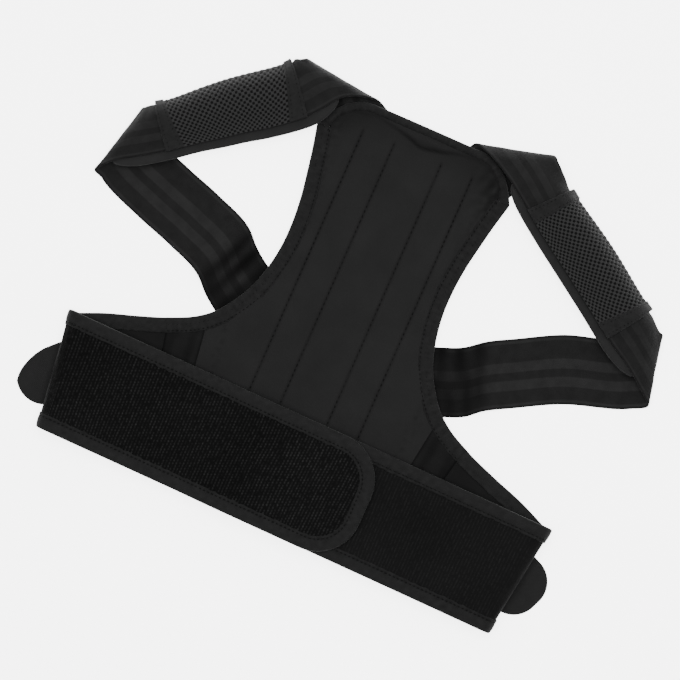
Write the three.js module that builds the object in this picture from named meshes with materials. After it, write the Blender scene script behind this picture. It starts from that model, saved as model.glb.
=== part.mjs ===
import * as THREE from "three";

// A posture corrector laid flat with its inner face up. A boned back panel widens into a waist belt
// whose two wings fold over at the sides and close in front. An elastic strap starts behind each side
// of the neck, loops out round the arm through a padded sleeve, crosses behind the panel and ends in a
// hook tab under the far side of the belt. Millimetres, +X across, +Y up the spine, +Z off the surface.

// Thicknesses of the cloths
const STRAP_THICK = 1.8;
const PANEL_THICK = 3;
const WING_THICK = 2.4;
const PAD_THICK = 4.5;
const COVER_THICK = 1.3;
const TAPE_THICK = 0.9;
const TAB_THICK = 1.8;
const GAP = 0.3;

// Back panel, its seams and its neck edge
const NECK_RISE = 231;
const WAIST_HALF = 74;
const FLAT_NECK_SHARE = 0.5;
const NECK_DROP = 32;
const NECK_WAVE = 1.6;
const NECK_WAVE_PITCH = 95;
const NECK_CURL_DEPTH = 34;
const CHANNEL_INNER = 22;
const CHANNEL_OUTER = 51;
const CHANNEL_STOP = 22;
const SEAM_HALF = 1.6;
const SEAM_DEPTH = 0.9;
const QUILT_RISE = 0.8;
const QUILT_SLOPE = 10;
const INSERT_HALF = 109;
const INSERT_FOOT_HALF = 88;
const GUSSET_WIDTH = 30;
const GUSSET_FOOT_WIDTH = 25;

// Waist belt
const BELT_DROP = 38;
const BELT_HEIGHT = 101;
const LEFT_REACH = 219;
const RIGHT_REACH = 234;
const FOLD_LEAN = 14;
const BELT_TILT_DEG = 0.9;
const LEFT_END_PAST_SPINE = 80;
const RIGHT_END_PAST_SPINE = 22;
const END_CORNER = 38;
const BELT_HOLLOW = 8;
const FOLD_PUFF = 2;
const FOLD_PUFF_LENGTH = 110;
const OVERLAP_RAMP = 55;

// Straps, shoulder pads and hook tabs
const STRAP_WIDTH = 60;
const LEFT_LOOP_REACH = 250;
const RIGHT_LOOP_REACH = 250;
const LOOP_LOFT = 20;
const RIM_WIDTH = 11;
const PAD_PAST_FOOT = 30;
const PAD_CORNER = 20;
const COVER_OVERHANG = 1.5;
const TAPE_WIDTH = 12;
const CROSSING_ANGLE_DEG = 23;
const CROSSING_STEP = 18;
const LEFT_TAB_REACH = 270;
const RIGHT_TAB_REACH = 261;
const TAB_LENGTH = 76;
const TAB_WIDTH = 55;
const TAB_LAP = 26;
const TAB_CORNER = 24;

// Heights of the layers, from the surface up
const STRAP_LEVEL = STRAP_THICK + GAP;
const BACK_Z = STRAP_LEVEL + Math.max(STRAP_THICK, TAB_THICK) + GAP;
const BACK_MID = BACK_Z + PANEL_THICK / 2;
const PAD_STACK = PAD_THICK + STRAP_THICK + 3 * GAP;
const FRONT_MID = BACK_Z + PANEL_THICK + QUILT_RISE + BELT_HOLLOW + WING_THICK / 2;
const OVERLAP_LIFT = WING_THICK + 2 * (TAPE_THICK + GAP) + GAP;

// How each strap lies, from its sewn end to the panel's edge, for a loop on the +X side. x: how far
// out the section's middle is, as a share of the loop's reach. y: how far up, as a share of the neck's
// rise. turn: the section's direction in plan, from the loop's inner edge to its outer, in degrees.
// span: its length in strap widths. Columns that a row leaves out are as in FLAT: level, the strap
// layers below it; over, the pad stacks below it; rise, its share of the loft; lean, its tilt in
// degrees; and arch, the height of its rounded outer side in strap widths.
const FLAT = { level: 0, over: 0, rise: 0, lean: 0, arch: 0 };
const LEFT_LOOP = [
  { name: "sewn end", x: 0.128, y: 0.714, turn: -30, span: 1, level: 1 },
  { name: "under panel", x: 0.164, y: 0.796, turn: -28, span: 1 },
  { name: "under neck", x: 0.222, y: 0.905, turn: -19, span: 1 },
  { name: "below crease", x: 0.286, y: 0.999, turn: -1, span: 1.15 },
  { name: "crease", x: 0.336, y: 1.038, turn: 6, span: 1.14, over: 0.4, rise: 0.1, lean: 3 },
  { name: "above crease", x: 0.378, y: 1.027, turn: 11, span: 0.93, over: 1, rise: 0.35, arch: 0.03 },
  { name: "over neck", x: 0.412, y: 1.005, turn: 20, span: 0.82, over: 1, rise: 0.4, lean: -5, arch: 0.1 },
  { name: "cover top", x: 0.458, y: 0.944, turn: 51, span: 0.82, over: 1, rise: 0.24, lean: -11, arch: 0.19 },
  { name: "cover mid", x: 0.65, y: 0.775, turn: 51, span: 0.77, over: 1, rise: 0.2, lean: -11, arch: 0.22 },
  { name: "cover foot", x: 0.842, y: 0.604, turn: 53, span: 0.69, over: 1, rise: 0.2, lean: -11, arch: 0.2 },
  { name: "past pad", x: 0.892, y: 0.568, turn: 82, span: 0.765, over: 1, rise: 0.22, lean: -7, arch: 0.14 },
  { name: "turning", x: 0.93, y: 0.539, turn: 97, span: 0.89, over: 1, rise: 0.16, lean: -4, arch: 0.07 },
  { name: "far fold", x: 0.958, y: 0.504, turn: 105, span: 1.09, over: 0.6, rise: 0.1 },
  { name: "turned", x: 0.914, y: 0.465, turn: 113, span: 0.99, rise: 0.04 },
  { name: "lower run", x: 0.746, y: 0.39, turn: 112, span: 1 },
  { name: "lower mid", x: 0.612, y: 0.342, turn: 111, span: 1 },
  { name: "hump", x: 0.472, y: 0.275, turn: 114, span: 1, rise: 0.22 },
  { name: "kink", x: 0.428, y: 0.227, turn: 114, span: 1, rise: 0.02 },
  { name: "panel edge", x: 0.372, y: 0.182, turn: 114, span: 1 },
];
const RIGHT_LOOP = [
  { name: "sewn end", x: 0.128, y: 0.714, turn: -30, span: 1, level: 1 },
  { name: "under panel", x: 0.164, y: 0.796, turn: -28, span: 1 },
  { name: "under neck", x: 0.222, y: 0.905, turn: -19, span: 1 },
  { name: "below crease", x: 0.276, y: 1.002, turn: 0, span: 1.04 },
  { name: "crease", x: 0.3, y: 1.057, turn: 14, span: 1.1, over: 0.4, rise: 0.1, lean: 3 },
  { name: "above crease", x: 0.348, y: 1.035, turn: 19, span: 0.95, over: 1, rise: 0.35, arch: 0.03 },
  { name: "over neck", x: 0.406, y: 0.993, turn: 26, span: 0.8, over: 1, rise: 0.4, lean: -5, arch: 0.1 },
  { name: "cover top", x: 0.474, y: 0.937, turn: 47, span: 0.68, over: 1, rise: 0.24, lean: -11, arch: 0.2 },
  { name: "cover mid", x: 0.688, y: 0.787, turn: 49, span: 0.73, over: 1, rise: 0.2, lean: -11, arch: 0.22 },
  { name: "cover foot", x: 0.896, y: 0.632, turn: 56, span: 0.72, over: 1, rise: 0.2, lean: -11, arch: 0.2 },
  { name: "past pad", x: 0.95, y: 0.594, turn: 75, span: 0.72, over: 1, rise: 0.22, lean: -7, arch: 0.14 },
  { name: "turning", x: 1, y: 0.554, turn: 90, span: 0.8, over: 1, rise: 0.16, lean: -4, arch: 0.07 },
  { name: "far fold", x: 1.042, y: 0.519, turn: 102.5, span: 0.99, over: 0.6, rise: 0.1 },
  { name: "turned", x: 0.97, y: 0.468, turn: 114, span: 1, rise: 0.04 },
  { name: "lower run", x: 0.744, y: 0.379, turn: 112, span: 1 },
  { name: "lower mid", x: 0.612, y: 0.301, turn: 111, span: 1 },
  { name: "hump", x: 0.516, y: 0.242, turn: 111, span: 1, rise: 0.2 },
  { name: "kink", x: 0.46, y: 0.193, turn: 114, span: 1, rise: 0.02 },
  { name: "panel edge", x: 0.386, y: 0.158, turn: 114, span: 1 },
];

// The panel's side, from the neck corner down. out: half width in waist halves. up: share of the rise.
const PANEL_SIDE = [
  { out: 1.2, up: 0.861 },
  { out: 1.135, up: 0.771 },
  { out: 1.08, up: 0.68 },
  { out: 1.027, up: 0.58 },
  { out: 1, up: 0.476 },
  { out: 1, up: 0.411 },
  { out: 1.04, up: 0.307 },
  { out: 1.15, up: 0.19 },
  { out: 1.27, up: 0.121 },
  { out: 1.426, up: 0.056 },
];
// The flare from there to the belt's fold. along: share of the way out. drop: share of the way down.
const PANEL_FLARE = [
  { along: 0.09, drop: 0.176 },
  { along: 0.28, drop: 0.41 },
  { along: 0.52, drop: 0.61 },
  { along: 0.81, drop: 0.824 },
  { along: 1, drop: 1 },
];

// Where a strap and the layers on it have their long lines of faces, across the strap's width.
const ACROSS = [0, 0.2, 0.4, 0.6, 0.8, 1];

const radians = THREE.MathUtils.degToRad;
const lerp = THREE.MathUtils.lerp;

// 0 below from, 1 above to, and a smooth step in between.
function ease(value, from, to) {
  const share = THREE.MathUtils.clamp((value - from) / (to - from), 0, 1);
  return share * share * (3 - 2 * share);
}

// A smooth curve through named columns of a table. run holds each row's place along the curve. The
// columns named in level never swing past their rows.
function smoothTable(rows, run, keys, level) {
  const slope = (key, i) => {
    const before = Math.max(i - 1, 0);
    const after = Math.min(i + 1, rows.length - 1);
    const chord = (rows[after][key] - rows[before][key]) / (run[after] - run[before]);
    if (before === i || after === i) return chord;
    const back = (rows[i][key] - rows[before][key]) / (run[i] - run[before]);
    const ahead = (rows[after][key] - rows[i][key]) / (run[after] - run[i]);
    const weight = (run[i] - run[before]) / (run[after] - run[before]);
    const mean = lerp(back, ahead, weight);
    if (!level.includes(key)) return mean;
    const limit = back * ahead > 0 ? 3 * Math.min(Math.abs(back), Math.abs(ahead)) : 0;
    return THREE.MathUtils.clamp(mean, -limit, limit);
  };
  return (place) => {
    let i = 0;
    while (i < rows.length - 2 && place > run[i + 1]) i += 1;
    const length = run[i + 1] - run[i];
    const t = (place - run[i]) / length;
    const found = {};
    for (const key of keys) {
      const [a, b] = [rows[i][key], rows[i + 1][key]];
      const [m, n] = [slope(key, i) * length, slope(key, i + 1) * length];
      const cubic = (2 * a - 2 * b + m + n) * t ** 3 + (3 * b - 3 * a - 2 * m - n) * t ** 2;
      found[key] = t < 0 || t > 1 ? lerp(a, b, t) : cubic + m * t + a;
    }
    return found;
  };
}

// The unit normal of a surface at(s, w), on the side that flip chooses.
function normalOf(surface, s, w) {
  const { at, stepS, stepW, flip } = surface;
  const along = at(s + stepS, w).sub(at(s - stepS, w));
  const across = at(s, w + stepW).sub(at(s, w - stepW));
  return along.cross(across).normalize().multiplyScalar(flip);
}

// The point that lies lift above a surface.
function lifted(surface, s, w, lift) {
  return surface.at(s, w).addScaledVector(normalOf(surface, s, w), lift);
}

// A closed body from corner points and faces, turned so that its faces point out.
function closedBody(points, faces) {
  let volume = 0;
  for (const [a, b, c] of faces) volume += points[a].dot(points[b].clone().cross(points[c]));
  const index = faces.flatMap(([a, b, c]) => (volume > 0 ? [a, b, c] : [a, c, b]));
  const geometry = new THREE.BufferGeometry();
  geometry.setAttribute("position", new THREE.Float32BufferAttribute(points.flatMap((p) => p.toArray()), 3));
  geometry.setIndex(index);
  geometry.computeVertexNormals();
  return geometry;
}

// A sheet between two grids of points, rows by columns, with its rim closed.
function sheetBody(low, high) {
  const rows = low.length;
  const columns = low[0].length;
  const points = [...low.flat(), ...high.flat()];
  const id = (layer, i, j) => (layer * rows + i) * columns + j;
  const faces = [];
  const quad = (a, b, c, d) => faces.push([a, b, c], [a, c, d]);
  for (let i = 0; i < rows - 1; i += 1) {
    for (let j = 0; j < columns - 1; j += 1) {
      quad(id(0, i, j), id(0, i + 1, j), id(0, i + 1, j + 1), id(0, i, j + 1));
      quad(id(1, i, j), id(1, i, j + 1), id(1, i + 1, j + 1), id(1, i + 1, j));
    }
    const last = columns - 1;
    quad(id(0, i, 0), id(1, i, 0), id(1, i + 1, 0), id(0, i + 1, 0));
    quad(id(0, i, last), id(0, i + 1, last), id(1, i + 1, last), id(1, i, last));
  }
  for (let j = 0; j < columns - 1; j += 1) {
    const last = rows - 1;
    quad(id(0, 0, j), id(0, 0, j + 1), id(1, 0, j + 1), id(1, 0, j));
    quad(id(0, last, j), id(1, last, j), id(1, last, j + 1), id(0, last, j + 1));
  }
  return closedBody(points, faces);
}

// count + 1 evenly spaced values.
function spread(from, to, count) {
  return Array.from({ length: count + 1 }, (_, i) => lerp(from, to, i / count));
}

// A layer of cloth between two heights over a surface. acrossAt(s) gives the places across it.
function layer(surface, places, acrossAt, bottom, top) {
  const grid = (lift) => places.map((s) => acrossAt(s).map((w) => lifted(surface, s, w, lift)));
  return sheetBody(grid(bottom), grid(top));
}

// How far an edge draws in near a rounded end, at a distance from that end.
function cornerInset(distance, radius) {
  if (distance >= radius) return 0;
  return radius - Math.sqrt(Math.max(radius ** 2 - (radius - distance) ** 2, 0));
}

// Places along a length that close up towards its two rounded ends.
function roundedPlaces(from, to, radius, count, arcSteps) {
  const arc = spread(0, Math.PI / 2, arcSteps).map((angle) => radius * (1 - Math.cos(angle)));
  const middle = spread(from + radius, to - radius, count).slice(1, -1);
  return [...arc.map((d) => from + d), ...middle, ...arc.reverse().map((d) => to - d)];
}

// A folded tape round an edge. Each frame has the edge's point, the cloth's normal and the way in.
function bindingBody(frames, clothThick) {
  const inside = clothThick / 2 + GAP;
  const outside = inside + TAPE_THICK;
  const profile = [
    [TAPE_WIDTH, outside],
    [-GAP - TAPE_THICK, outside],
    [-GAP - TAPE_THICK, -outside],
    [TAPE_WIDTH, -outside],
    [TAPE_WIDTH, -inside],
    [-GAP, -inside],
    [-GAP, inside],
    [TAPE_WIDTH, inside],
  ];
  const corners = profile.length;
  const points = frames.flatMap(({ point, normal, inward }) =>
    profile.map(([depth, height]) =>
      point.clone().addScaledVector(inward, depth).addScaledVector(normal, height)
    )
  );
  const faces = [];
  const quad = (a, b, c, d) => faces.push([a, b, c], [a, c, d]);
  const end = (frames.length - 1) * corners;
  for (let start = 0; start < end; start += corners) {
    for (let k = 0; k < corners; k += 1) {
      const after = (k + 1) % corners;
      quad(start + k, start + after, start + corners + after, start + corners + k);
    }
  }
  for (const [a, b, c, d] of [[0, 1, 6, 7], [1, 2, 5, 6], [2, 3, 4, 5]]) {
    quad(d, c, b, a);
    quad(end + a, end + b, end + c, end + d);
  }
  return closedBody(points, faces);
}

// Frames along an edge from its points and normals. turnIn, 1 or -1, says on which hand the cloth lies.
function edgeFrames(points, normals, turnIn) {
  return points.map((point, i) => {
    const before = points[Math.max(i - 1, 0)];
    const after = points[Math.min(i + 1, points.length - 1)];
    const along = after.clone().sub(before).normalize();
    const inward = normals[i].clone().cross(along).normalize().multiplyScalar(turnIn);
    return { point, normal: normals[i], inward };
  });
}

const materials = {
  panel: new THREE.MeshStandardMaterial({ color: 0x272727, roughness: 0.85, metalness: 0 }),
  gusset: new THREE.MeshStandardMaterial({ color: 0x1f1f1f, roughness: 0.9, metalness: 0 }),
  elastic: new THREE.MeshStandardMaterial({ color: 0x131313, roughness: 0.9, metalness: 0 }),
  tape: new THREE.MeshStandardMaterial({ color: 0x212121, roughness: 0.75, metalness: 0 }),
  strap: new THREE.MeshStandardMaterial({ color: 0x222222, roughness: 0.7, metalness: 0 }),
  pad: new THREE.MeshStandardMaterial({ color: 0x242424, roughness: 0.8, metalness: 0 }),
  mesh: new THREE.MeshStandardMaterial({ color: 0x2e2e2e, roughness: 0.8, metalness: 0 }),
  hook: new THREE.MeshStandardMaterial({ color: 0x252525, roughness: 0.7, metalness: 0 }),
};

const corrector = new THREE.Group();

function addPiece(name, geometry, material) {
  const piece = new THREE.Mesh(geometry, material);
  piece.name = name;
  corrector.add(piece);
}

const reachOf = (side) => (side < 0 ? LEFT_REACH : RIGHT_REACH);

// The belt's two long edges sink slightly towards +X.
const beltTop = (x) => -BELT_DROP - x * Math.tan(radians(BELT_TILT_DEG));
const beltFoot = (x) => beltTop(x) - BELT_HEIGHT;

// The panel's outline on one side, from the neck corner to the belt's fold, as one smooth curve.
function outlineOf(side) {
  const upper = PANEL_SIDE.map(({ out, up }) => new THREE.Vector3(out * WAIST_HALF, up * NECK_RISE, 0));
  const last = upper[upper.length - 1];
  const reach = reachOf(side);
  const foldTop = beltTop(side * reach);
  const lower = PANEL_FLARE.map(
    ({ along, drop }) => new THREE.Vector3(lerp(last.x, reach, along), lerp(last.y, foldTop, drop), 0)
  );
  return new THREE.CatmullRomCurve3([...upper, ...lower], false, "centripetal").getPoints(240);
}
const outlines = { "-1": outlineOf(-1), 1: outlineOf(1) };

// Reads one coordinate of an outline at a value of the other, which falls or grows all along it.
function readOutline(side, known, value, wanted) {
  const points = outlines[side];
  const growing = points[points.length - 1][known] > points[0][known];
  let i = 0;
  const before = (point) => (growing ? point[known] < value : point[known] > value);
  while (i < points.length - 2 && before(points[i + 1])) i += 1;
  const share = (value - points[i][known]) / (points[i + 1][known] - points[i][known]);
  return lerp(points[i][wanted], points[i + 1][wanted], THREE.MathUtils.clamp(share, 0, 1));
}

const FLARE_TOP_Y = readOutline(1, "x", INSERT_HALF, "y");
const NECK_CORNER = { x: PANEL_SIDE[0].out * WAIST_HALF, y: PANEL_SIDE[0].up * NECK_RISE };

// The inner panel's half width: the outline down to the insert's seam, then that seam.
function insertHalf(side, y) {
  if (y > NECK_CORNER.y) return NECK_CORNER.x;
  if (y > FLARE_TOP_Y) return Math.min(readOutline(side, "y", y, "x"), INSERT_HALF);
  return lerp(INSERT_HALF, INSERT_FOOT_HALF, (FLARE_TOP_Y - y) / (FLARE_TOP_Y + BELT_DROP + BELT_HEIGHT));
}

// The neck edge's height at a distance from the spine, with its two rounded corners.
function neckEdge(x) {
  const share = Math.min(Math.abs(x) / NECK_CORNER.x, 1);
  const bend = Math.max(share - FLAT_NECK_SHARE, 0) / (1 - FLAT_NECK_SHARE);
  return NECK_CORNER.y + NECK_DROP * (1 - bend ** 2.7);
}

// The panel curls up a little towards the neck tape, in a soft wave.
function backMid(x, y) {
  const wave = 0.5 + 0.5 * Math.cos((2 * Math.PI * x) / NECK_WAVE_PITCH);
  const curl = ease(y, neckEdge(x) - NECK_CURL_DEPTH, neckEdge(x) - TAPE_WIDTH - 2 * GAP);
  const corner = ease(Math.abs(x), FLAT_NECK_SHARE * NECK_CORNER.x, NECK_CORNER.x - 1.5 * TAPE_WIDTH);
  return BACK_MID + NECK_WAVE * wave * curl * (1 - corner);
}

// Points all round the inner panel's edge.
const sideHeights = spread(-BELT_DROP - BELT_HEIGHT, NECK_CORNER.y, 150);
const panelRim = [
  ...spread(-NECK_CORNER.x, NECK_CORNER.x, 80).map((x) => new THREE.Vector2(x, neckEdge(x))),
  ...spread(-INSERT_FOOT_HALF, INSERT_FOOT_HALF, 60).map((x) => new THREE.Vector2(x, beltFoot(x))),
  ...[-1, 1].flatMap((side) => sideHeights.map((y) => new THREE.Vector2(side * insertHalf(side, y), y))),
];

// The padded top of the panel: low under the edge tapes and sunk along each stitched line.
function quiltTop(x, y) {
  const seams = [CHANNEL_INNER, CHANNEL_OUTER];
  const seamDistance = Math.min(...seams.map((seam) => Math.abs(Math.abs(x) - seam)));
  const lineEnd = neckEdge(x) - CHANNEL_STOP;
  const stitched = 1 - ease(y, lineEnd - SEAM_HALF, lineEnd + SEAM_HALF);
  const sunk = 1 - ease(seamDistance, 0, SEAM_HALF);
  const here = new THREE.Vector2(x, y);
  const edgeDistance = Math.min(...panelRim.map((point) => point.distanceTo(here)));
  const quilt = QUILT_RISE * ease(edgeDistance, 1.5 * TAPE_WIDTH, 1.5 * TAPE_WIDTH + QUILT_SLOPE);
  return PANEL_THICK / 2 + quilt - SEAM_DEPTH * sunk * stitched;
}

// The panel's rows, as shares of its height: they close up at the tapes and where it curls.
const PANEL_HEIGHT = NECK_RISE + BELT_DROP + BELT_HEIGHT;
const TAPE_ROW = (TAPE_WIDTH + 2 * GAP) / PANEL_HEIGHT;
const PANEL_ROWS = [
  0,
  TAPE_ROW,
  ...spread(2 * TAPE_ROW, 1 - NECK_CURL_DEPTH / PANEL_HEIGHT, 15),
  1 - CHANNEL_STOP / PANEL_HEIGHT,
  1 - TAPE_ROW,
  1,
];

// Where a row of the inner panel ends, at one side.
function rowEnd(side, share) {
  const y = lerp(beltFoot(side * INSERT_FOOT_HALF), NECK_CORNER.y, share);
  return new THREE.Vector3(insertHalf(side, y), y, 0);
}

// The inner panel. Its columns follow the stitched lines, and spread out to the edges beyond them.
function makePanel() {
  const seamColumns = [CHANNEL_INNER, CHANNEL_OUTER].flatMap((x) => [x - SEAM_HALF, x, x + SEAM_HALF]);
  const middles = [0, CHANNEL_INNER / 2, (CHANNEL_INNER + CHANNEL_OUTER) / 2];
  const fixed = [...middles, ...seamColumns].sort((a, b) => a - b);
  const columnsAt = (half) => {
    const start = fixed[fixed.length - 1];
    const tapeEdge = half - 1.5 * TAPE_WIDTH;
    return [...fixed, (start + tapeEdge) / 2, tapeEdge, half];
  };
  const grid = (lift) =>
    PANEL_ROWS.map((share) => {
      const halves = { "-1": rowEnd(-1, share).x, 1: rowEnd(1, share).x };
      const left = columnsAt(halves[-1]).slice(1).reverse().map((x) => -x);
      return [...left, ...columnsAt(halves[1])].map((x) => {
        const out = x / halves[Math.sign(x) || 1];
        const y = lerp(beltFoot(out * INSERT_FOOT_HALF), neckEdge(out * NECK_CORNER.x), share);
        return new THREE.Vector3(x, y, backMid(x, y) + lift(x, y));
      });
    });
  addPiece("back_panel", sheetBody(grid(() => -PANEL_THICK / 2), grid(quiltTop)), materials.panel);
}

// The foam gusset beside the insert: a straight-sided piece under the flare's slanted edge.
const GUSSET_COLUMNS = spread(0, 1, 3);
const gussetTop = (share) => lerp(INSERT_HALF + GAP, INSERT_HALF + GUSSET_WIDTH - GAP, share);
const gussetFoot = (share) => lerp(INSERT_FOOT_HALF + GAP, INSERT_FOOT_HALF + GUSSET_FOOT_WIDTH - GAP, share);
function makeGusset(side, name) {
  const grid = (height) =>
    spread(0, 1, 8).map((up) =>
      GUSSET_COLUMNS.map((share) => {
        const topX = gussetTop(share);
        const footX = gussetFoot(share);
        const y = lerp(beltFoot(side * footX), readOutline(side, "x", topX, "y"), up);
        return new THREE.Vector3(side * lerp(footX, topX, up), y, BACK_MID + height);
      })
    );
  addPiece(name, sheetBody(grid(-PANEL_THICK / 2), grid(PANEL_THICK / 2)), materials.gusset);
}

// A wing of the belt as a surface. s: 0 to 1 from the gusset to the fold, 1 to 2 round the fold, and
// 2 to 3 back over the front to the end. w: 0 at the top edge to 1 at the foot.
function wingSurface(side, pastSpine, lift) {
  const foldMid = FRONT_MID + FOLD_PUFF;
  const radius = (foldMid - BACK_MID) / 2;
  const frontZ = (x) =>
    FRONT_MID + FOLD_PUFF * ease(x, reachOf(side) - FOLD_PUFF_LENGTH, reachOf(side) - radius) + lift(x);
  const at = (s, w) => {
    const foldX = reachOf(side) - FOLD_LEAN * w - WING_THICK / 2 - radius;
    let x;
    let z;
    let topY;
    if (s <= 1) {
      const seamX = lerp(INSERT_HALF + GUSSET_WIDTH, INSERT_FOOT_HALF + GUSSET_FOOT_WIDTH, w) + GAP;
      x = lerp(seamX, foldX, s);
      z = BACK_MID;
      topY = readOutline(side, "x", lerp(INSERT_HALF + GUSSET_WIDTH + GAP, reachOf(side), s), "y");
    } else if (s <= 2) {
      const angle = (s - 1.5) * Math.PI;
      x = foldX + radius * Math.cos(angle);
      z = (BACK_MID + foldMid) / 2 + radius * Math.sin(angle);
      topY = beltTop(side * reachOf(side));
    } else {
      x = lerp(foldX, -pastSpine, s - 2);
      z = frontZ(x);
      topY = beltTop(side * x);
    }
    const footY = beltFoot(side * x);
    const inset = s > 2 ? cornerInset(x + pastSpine, END_CORNER) : 0;
    return new THREE.Vector3(side * x, lerp(topY - inset, footY + inset, w), z);
  };
  return { at, stepS: 0.002, stepW: 0.01, flip: side };
}

// A wing's cloth, and the tape that binds all of its edge but the seam with the gusset.
function makeWing(side, name, pastSpine, lift) {
  const surface = wingSurface(side, pastSpine, lift);
  const frontLength = reachOf(side) + pastSpine;
  const arcSteps = spread(Math.PI / 2, 0, 5).map((angle) => END_CORNER * (1 - Math.cos(angle)));
  const endPlaces = arcSteps.map((distance) => 3 - distance / frontLength);
  const places = [
    ...spread(0, 1, 4),
    ...spread(1, 2, 8).slice(1),
    ...spread(2, endPlaces[0], 14).slice(1),
    ...endPlaces.slice(1),
  ];
  const half = WING_THICK / 2;
  addPiece(name, layer(surface, places, () => spread(0, 1, 4), -half, half), materials.elastic);
  return { surface, places };
}

// The tape round a wing, from the gusset's top corner round to its bottom corner.
function bindWing(side, name, { surface, places }) {
  const stops = [
    ...places.map((s) => [s, 0]),
    ...[0.25, 0.5, 0.75].map((w) => [3, w]),
    ...[...places].reverse().map((s) => [s, 1]),
  ];
  const points = stops.map(([s, w]) => surface.at(s, w));
  const { stepS, stepW } = surface;
  const normals = stops.map(([s, w]) =>
    normalOf(surface, Math.min(s, 3 - stepS), THREE.MathUtils.clamp(w, stepW, 1 - stepW))
  );
  const frames = edgeFrames(points, normals, side).map((frame, i) => {
    const [s, w] = stops[i];
    if (s > 2 || (w > 0 && w < 1)) return frame;
    return { ...frame, inward: surface.at(s, 0.5).sub(frame.point).normalize() };
  });
  addPiece(name, bindingBody(frames, WING_THICK), materials.tape);
}

makePanel();
makeGusset(-1, "side_gusset_left");
makeGusset(1, "side_gusset_right");

const rightLift = () => 0;
const overlapEnd = RIGHT_END_PAST_SPINE + TAPE_WIDTH / 3;
const leftLift = (x) => OVERLAP_LIFT * (1 - ease(x, overlapEnd, overlapEnd + OVERLAP_RAMP));
const leftWing = makeWing(-1, "belt_wing_left", LEFT_END_PAST_SPINE, leftLift);
const rightWing = makeWing(1, "belt_wing_right", RIGHT_END_PAST_SPINE, rightLift);
bindWing(-1, "belt_binding_left", leftWing);
bindWing(1, "belt_binding_right", rightWing);

// A strap as a surface. s runs along the table's rows in millimetres, w from 0 at the inner edge of
// the loop to 1 at the outer.
function strapSurface(side, loop, reach, crossingLevel, tabReach) {
  const heading = radians(CROSSING_ANGLE_DEG);
  const straight = { turn: 90 + CROSSING_ANGLE_DEG, span: 1 };
  const oblique = { turn: 180 - CROSSING_ANGLE_DEG, span: 1 / Math.sin(2 * heading) };
  const stepEnd = STRAP_WIDTH / 2 / Math.sin(2 * heading) + STRAP_THICK;
  const onLine = (name, distance, level, section) => ({
    name,
    x: (distance * Math.cos(heading)) / reach,
    y: (distance * Math.sin(heading)) / NECK_RISE,
    level,
    ...section,
  });
  const rows = [
    ...loop,
    onLine("step foot", stepEnd + CROSSING_STEP, 0, oblique),
    onLine("step top", stepEnd, crossingLevel, oblique),
    onLine("crossing", 0, crossingLevel, oblique),
    onLine("far step top", -stepEnd, crossingLevel, oblique),
    onLine("far step foot", -stepEnd - CROSSING_STEP, 0, oblique),
    onLine("past crossing", -2 * stepEnd - CROSSING_STEP, 0, straight),
    onLine("tab start", TAB_LENGTH - tabReach, 0, straight),
    onLine("strap end", TAB_LENGTH - TAB_LAP - tabReach, 0, straight),
    onLine("tab tip", -tabReach, 0, straight),
  ]
    .map((row) => ({ ...FLAT, ...row }))
    .map((row) => ({
      ...row,
      x: row.x * reach,
      y: row.y * NECK_RISE,
      z: STRAP_THICK / 2 + row.level * STRAP_LEVEL + row.over * PAD_STACK + row.rise * LOOP_LOFT,
    }));
  const run = [0];
  for (let i = 1; i < rows.length; i += 1) {
    const [a, b] = [rows[i - 1], rows[i]];
    run.push(run[i - 1] + Math.hypot(b.x - a.x, b.y - a.y, b.z - a.z));
  }
  const levelColumns = ["z", "span", "lean", "arch"];
  const read = smoothTable(rows, run, ["x", "y", "turn", ...levelColumns], levelColumns);
  const at = (s, w) => {
    const row = read(s);
    const [turn, lean] = [radians(row.turn), radians(row.lean)];
    const rib = new THREE.Vector3(
      Math.cos(turn) * Math.cos(lean),
      Math.sin(turn) * Math.cos(lean),
      Math.sin(lean)
    );
    const inside = Math.max(w, 0);
    const round = 6.75 * inside ** 2 * (1 - inside) * row.arch * STRAP_WIDTH;
    const point = new THREE.Vector3(row.x, row.y, Math.max(row.z, STRAP_THICK / 2));
    point.addScaledVector(rib, (w - 0.5) * row.span * STRAP_WIDTH);
    point.z += round;
    point.x *= side;
    return point;
  };
  const mark = (name) => run[rows.findIndex((row) => row.name === name)];
  return { at, stepS: 0.5, stepW: 0.01, flip: side, mark, run };
}

// Where the strap, its pad and its cover have their sections, so that they all bend alike.
function loopPlaces(surface) {
  const [top, foot] = ["cover top", "cover foot"].map(surface.mark);
  const corner = spread(0, Math.PI / 2, 3).map((angle) => PAD_CORNER * (1 - Math.cos(angle)));
  const padTo = foot + PAD_PAST_FOOT;
  const cover = [top, ...spread(top + TAPE_WIDTH, foot - TAPE_WIDTH, 6), foot];
  const padStart = corner.map((distance) => top - PAD_CORNER + distance);
  const padEnd = [...corner].reverse().map((distance) => padTo - distance);
  return { cover, pad: [...padStart, ...cover.slice(1), ...padEnd] };
}

// A strap's cloth, with sections between the table's rows too.
function makeStrap(surface, places, name) {
  const last = surface.mark("strap end");
  const rows = surface.run
    .filter((place) => place <= last)
    .flatMap((place, i, all) => (i ? spread(all[i - 1], place, 2).slice(1) : [place]));
  const padFrom = places.pad[0];
  const padTo = places.pad[places.pad.length - 1];
  const before = rows.filter((place) => place < padFrom - 1);
  const after = rows.filter((place) => place > padTo + 1);
  const half = STRAP_THICK / 2;
  const strap = layer(surface, [...before, ...places.pad, ...after], () => ACROSS, -half, half);
  addPiece(name, strap, materials.strap);
}

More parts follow.
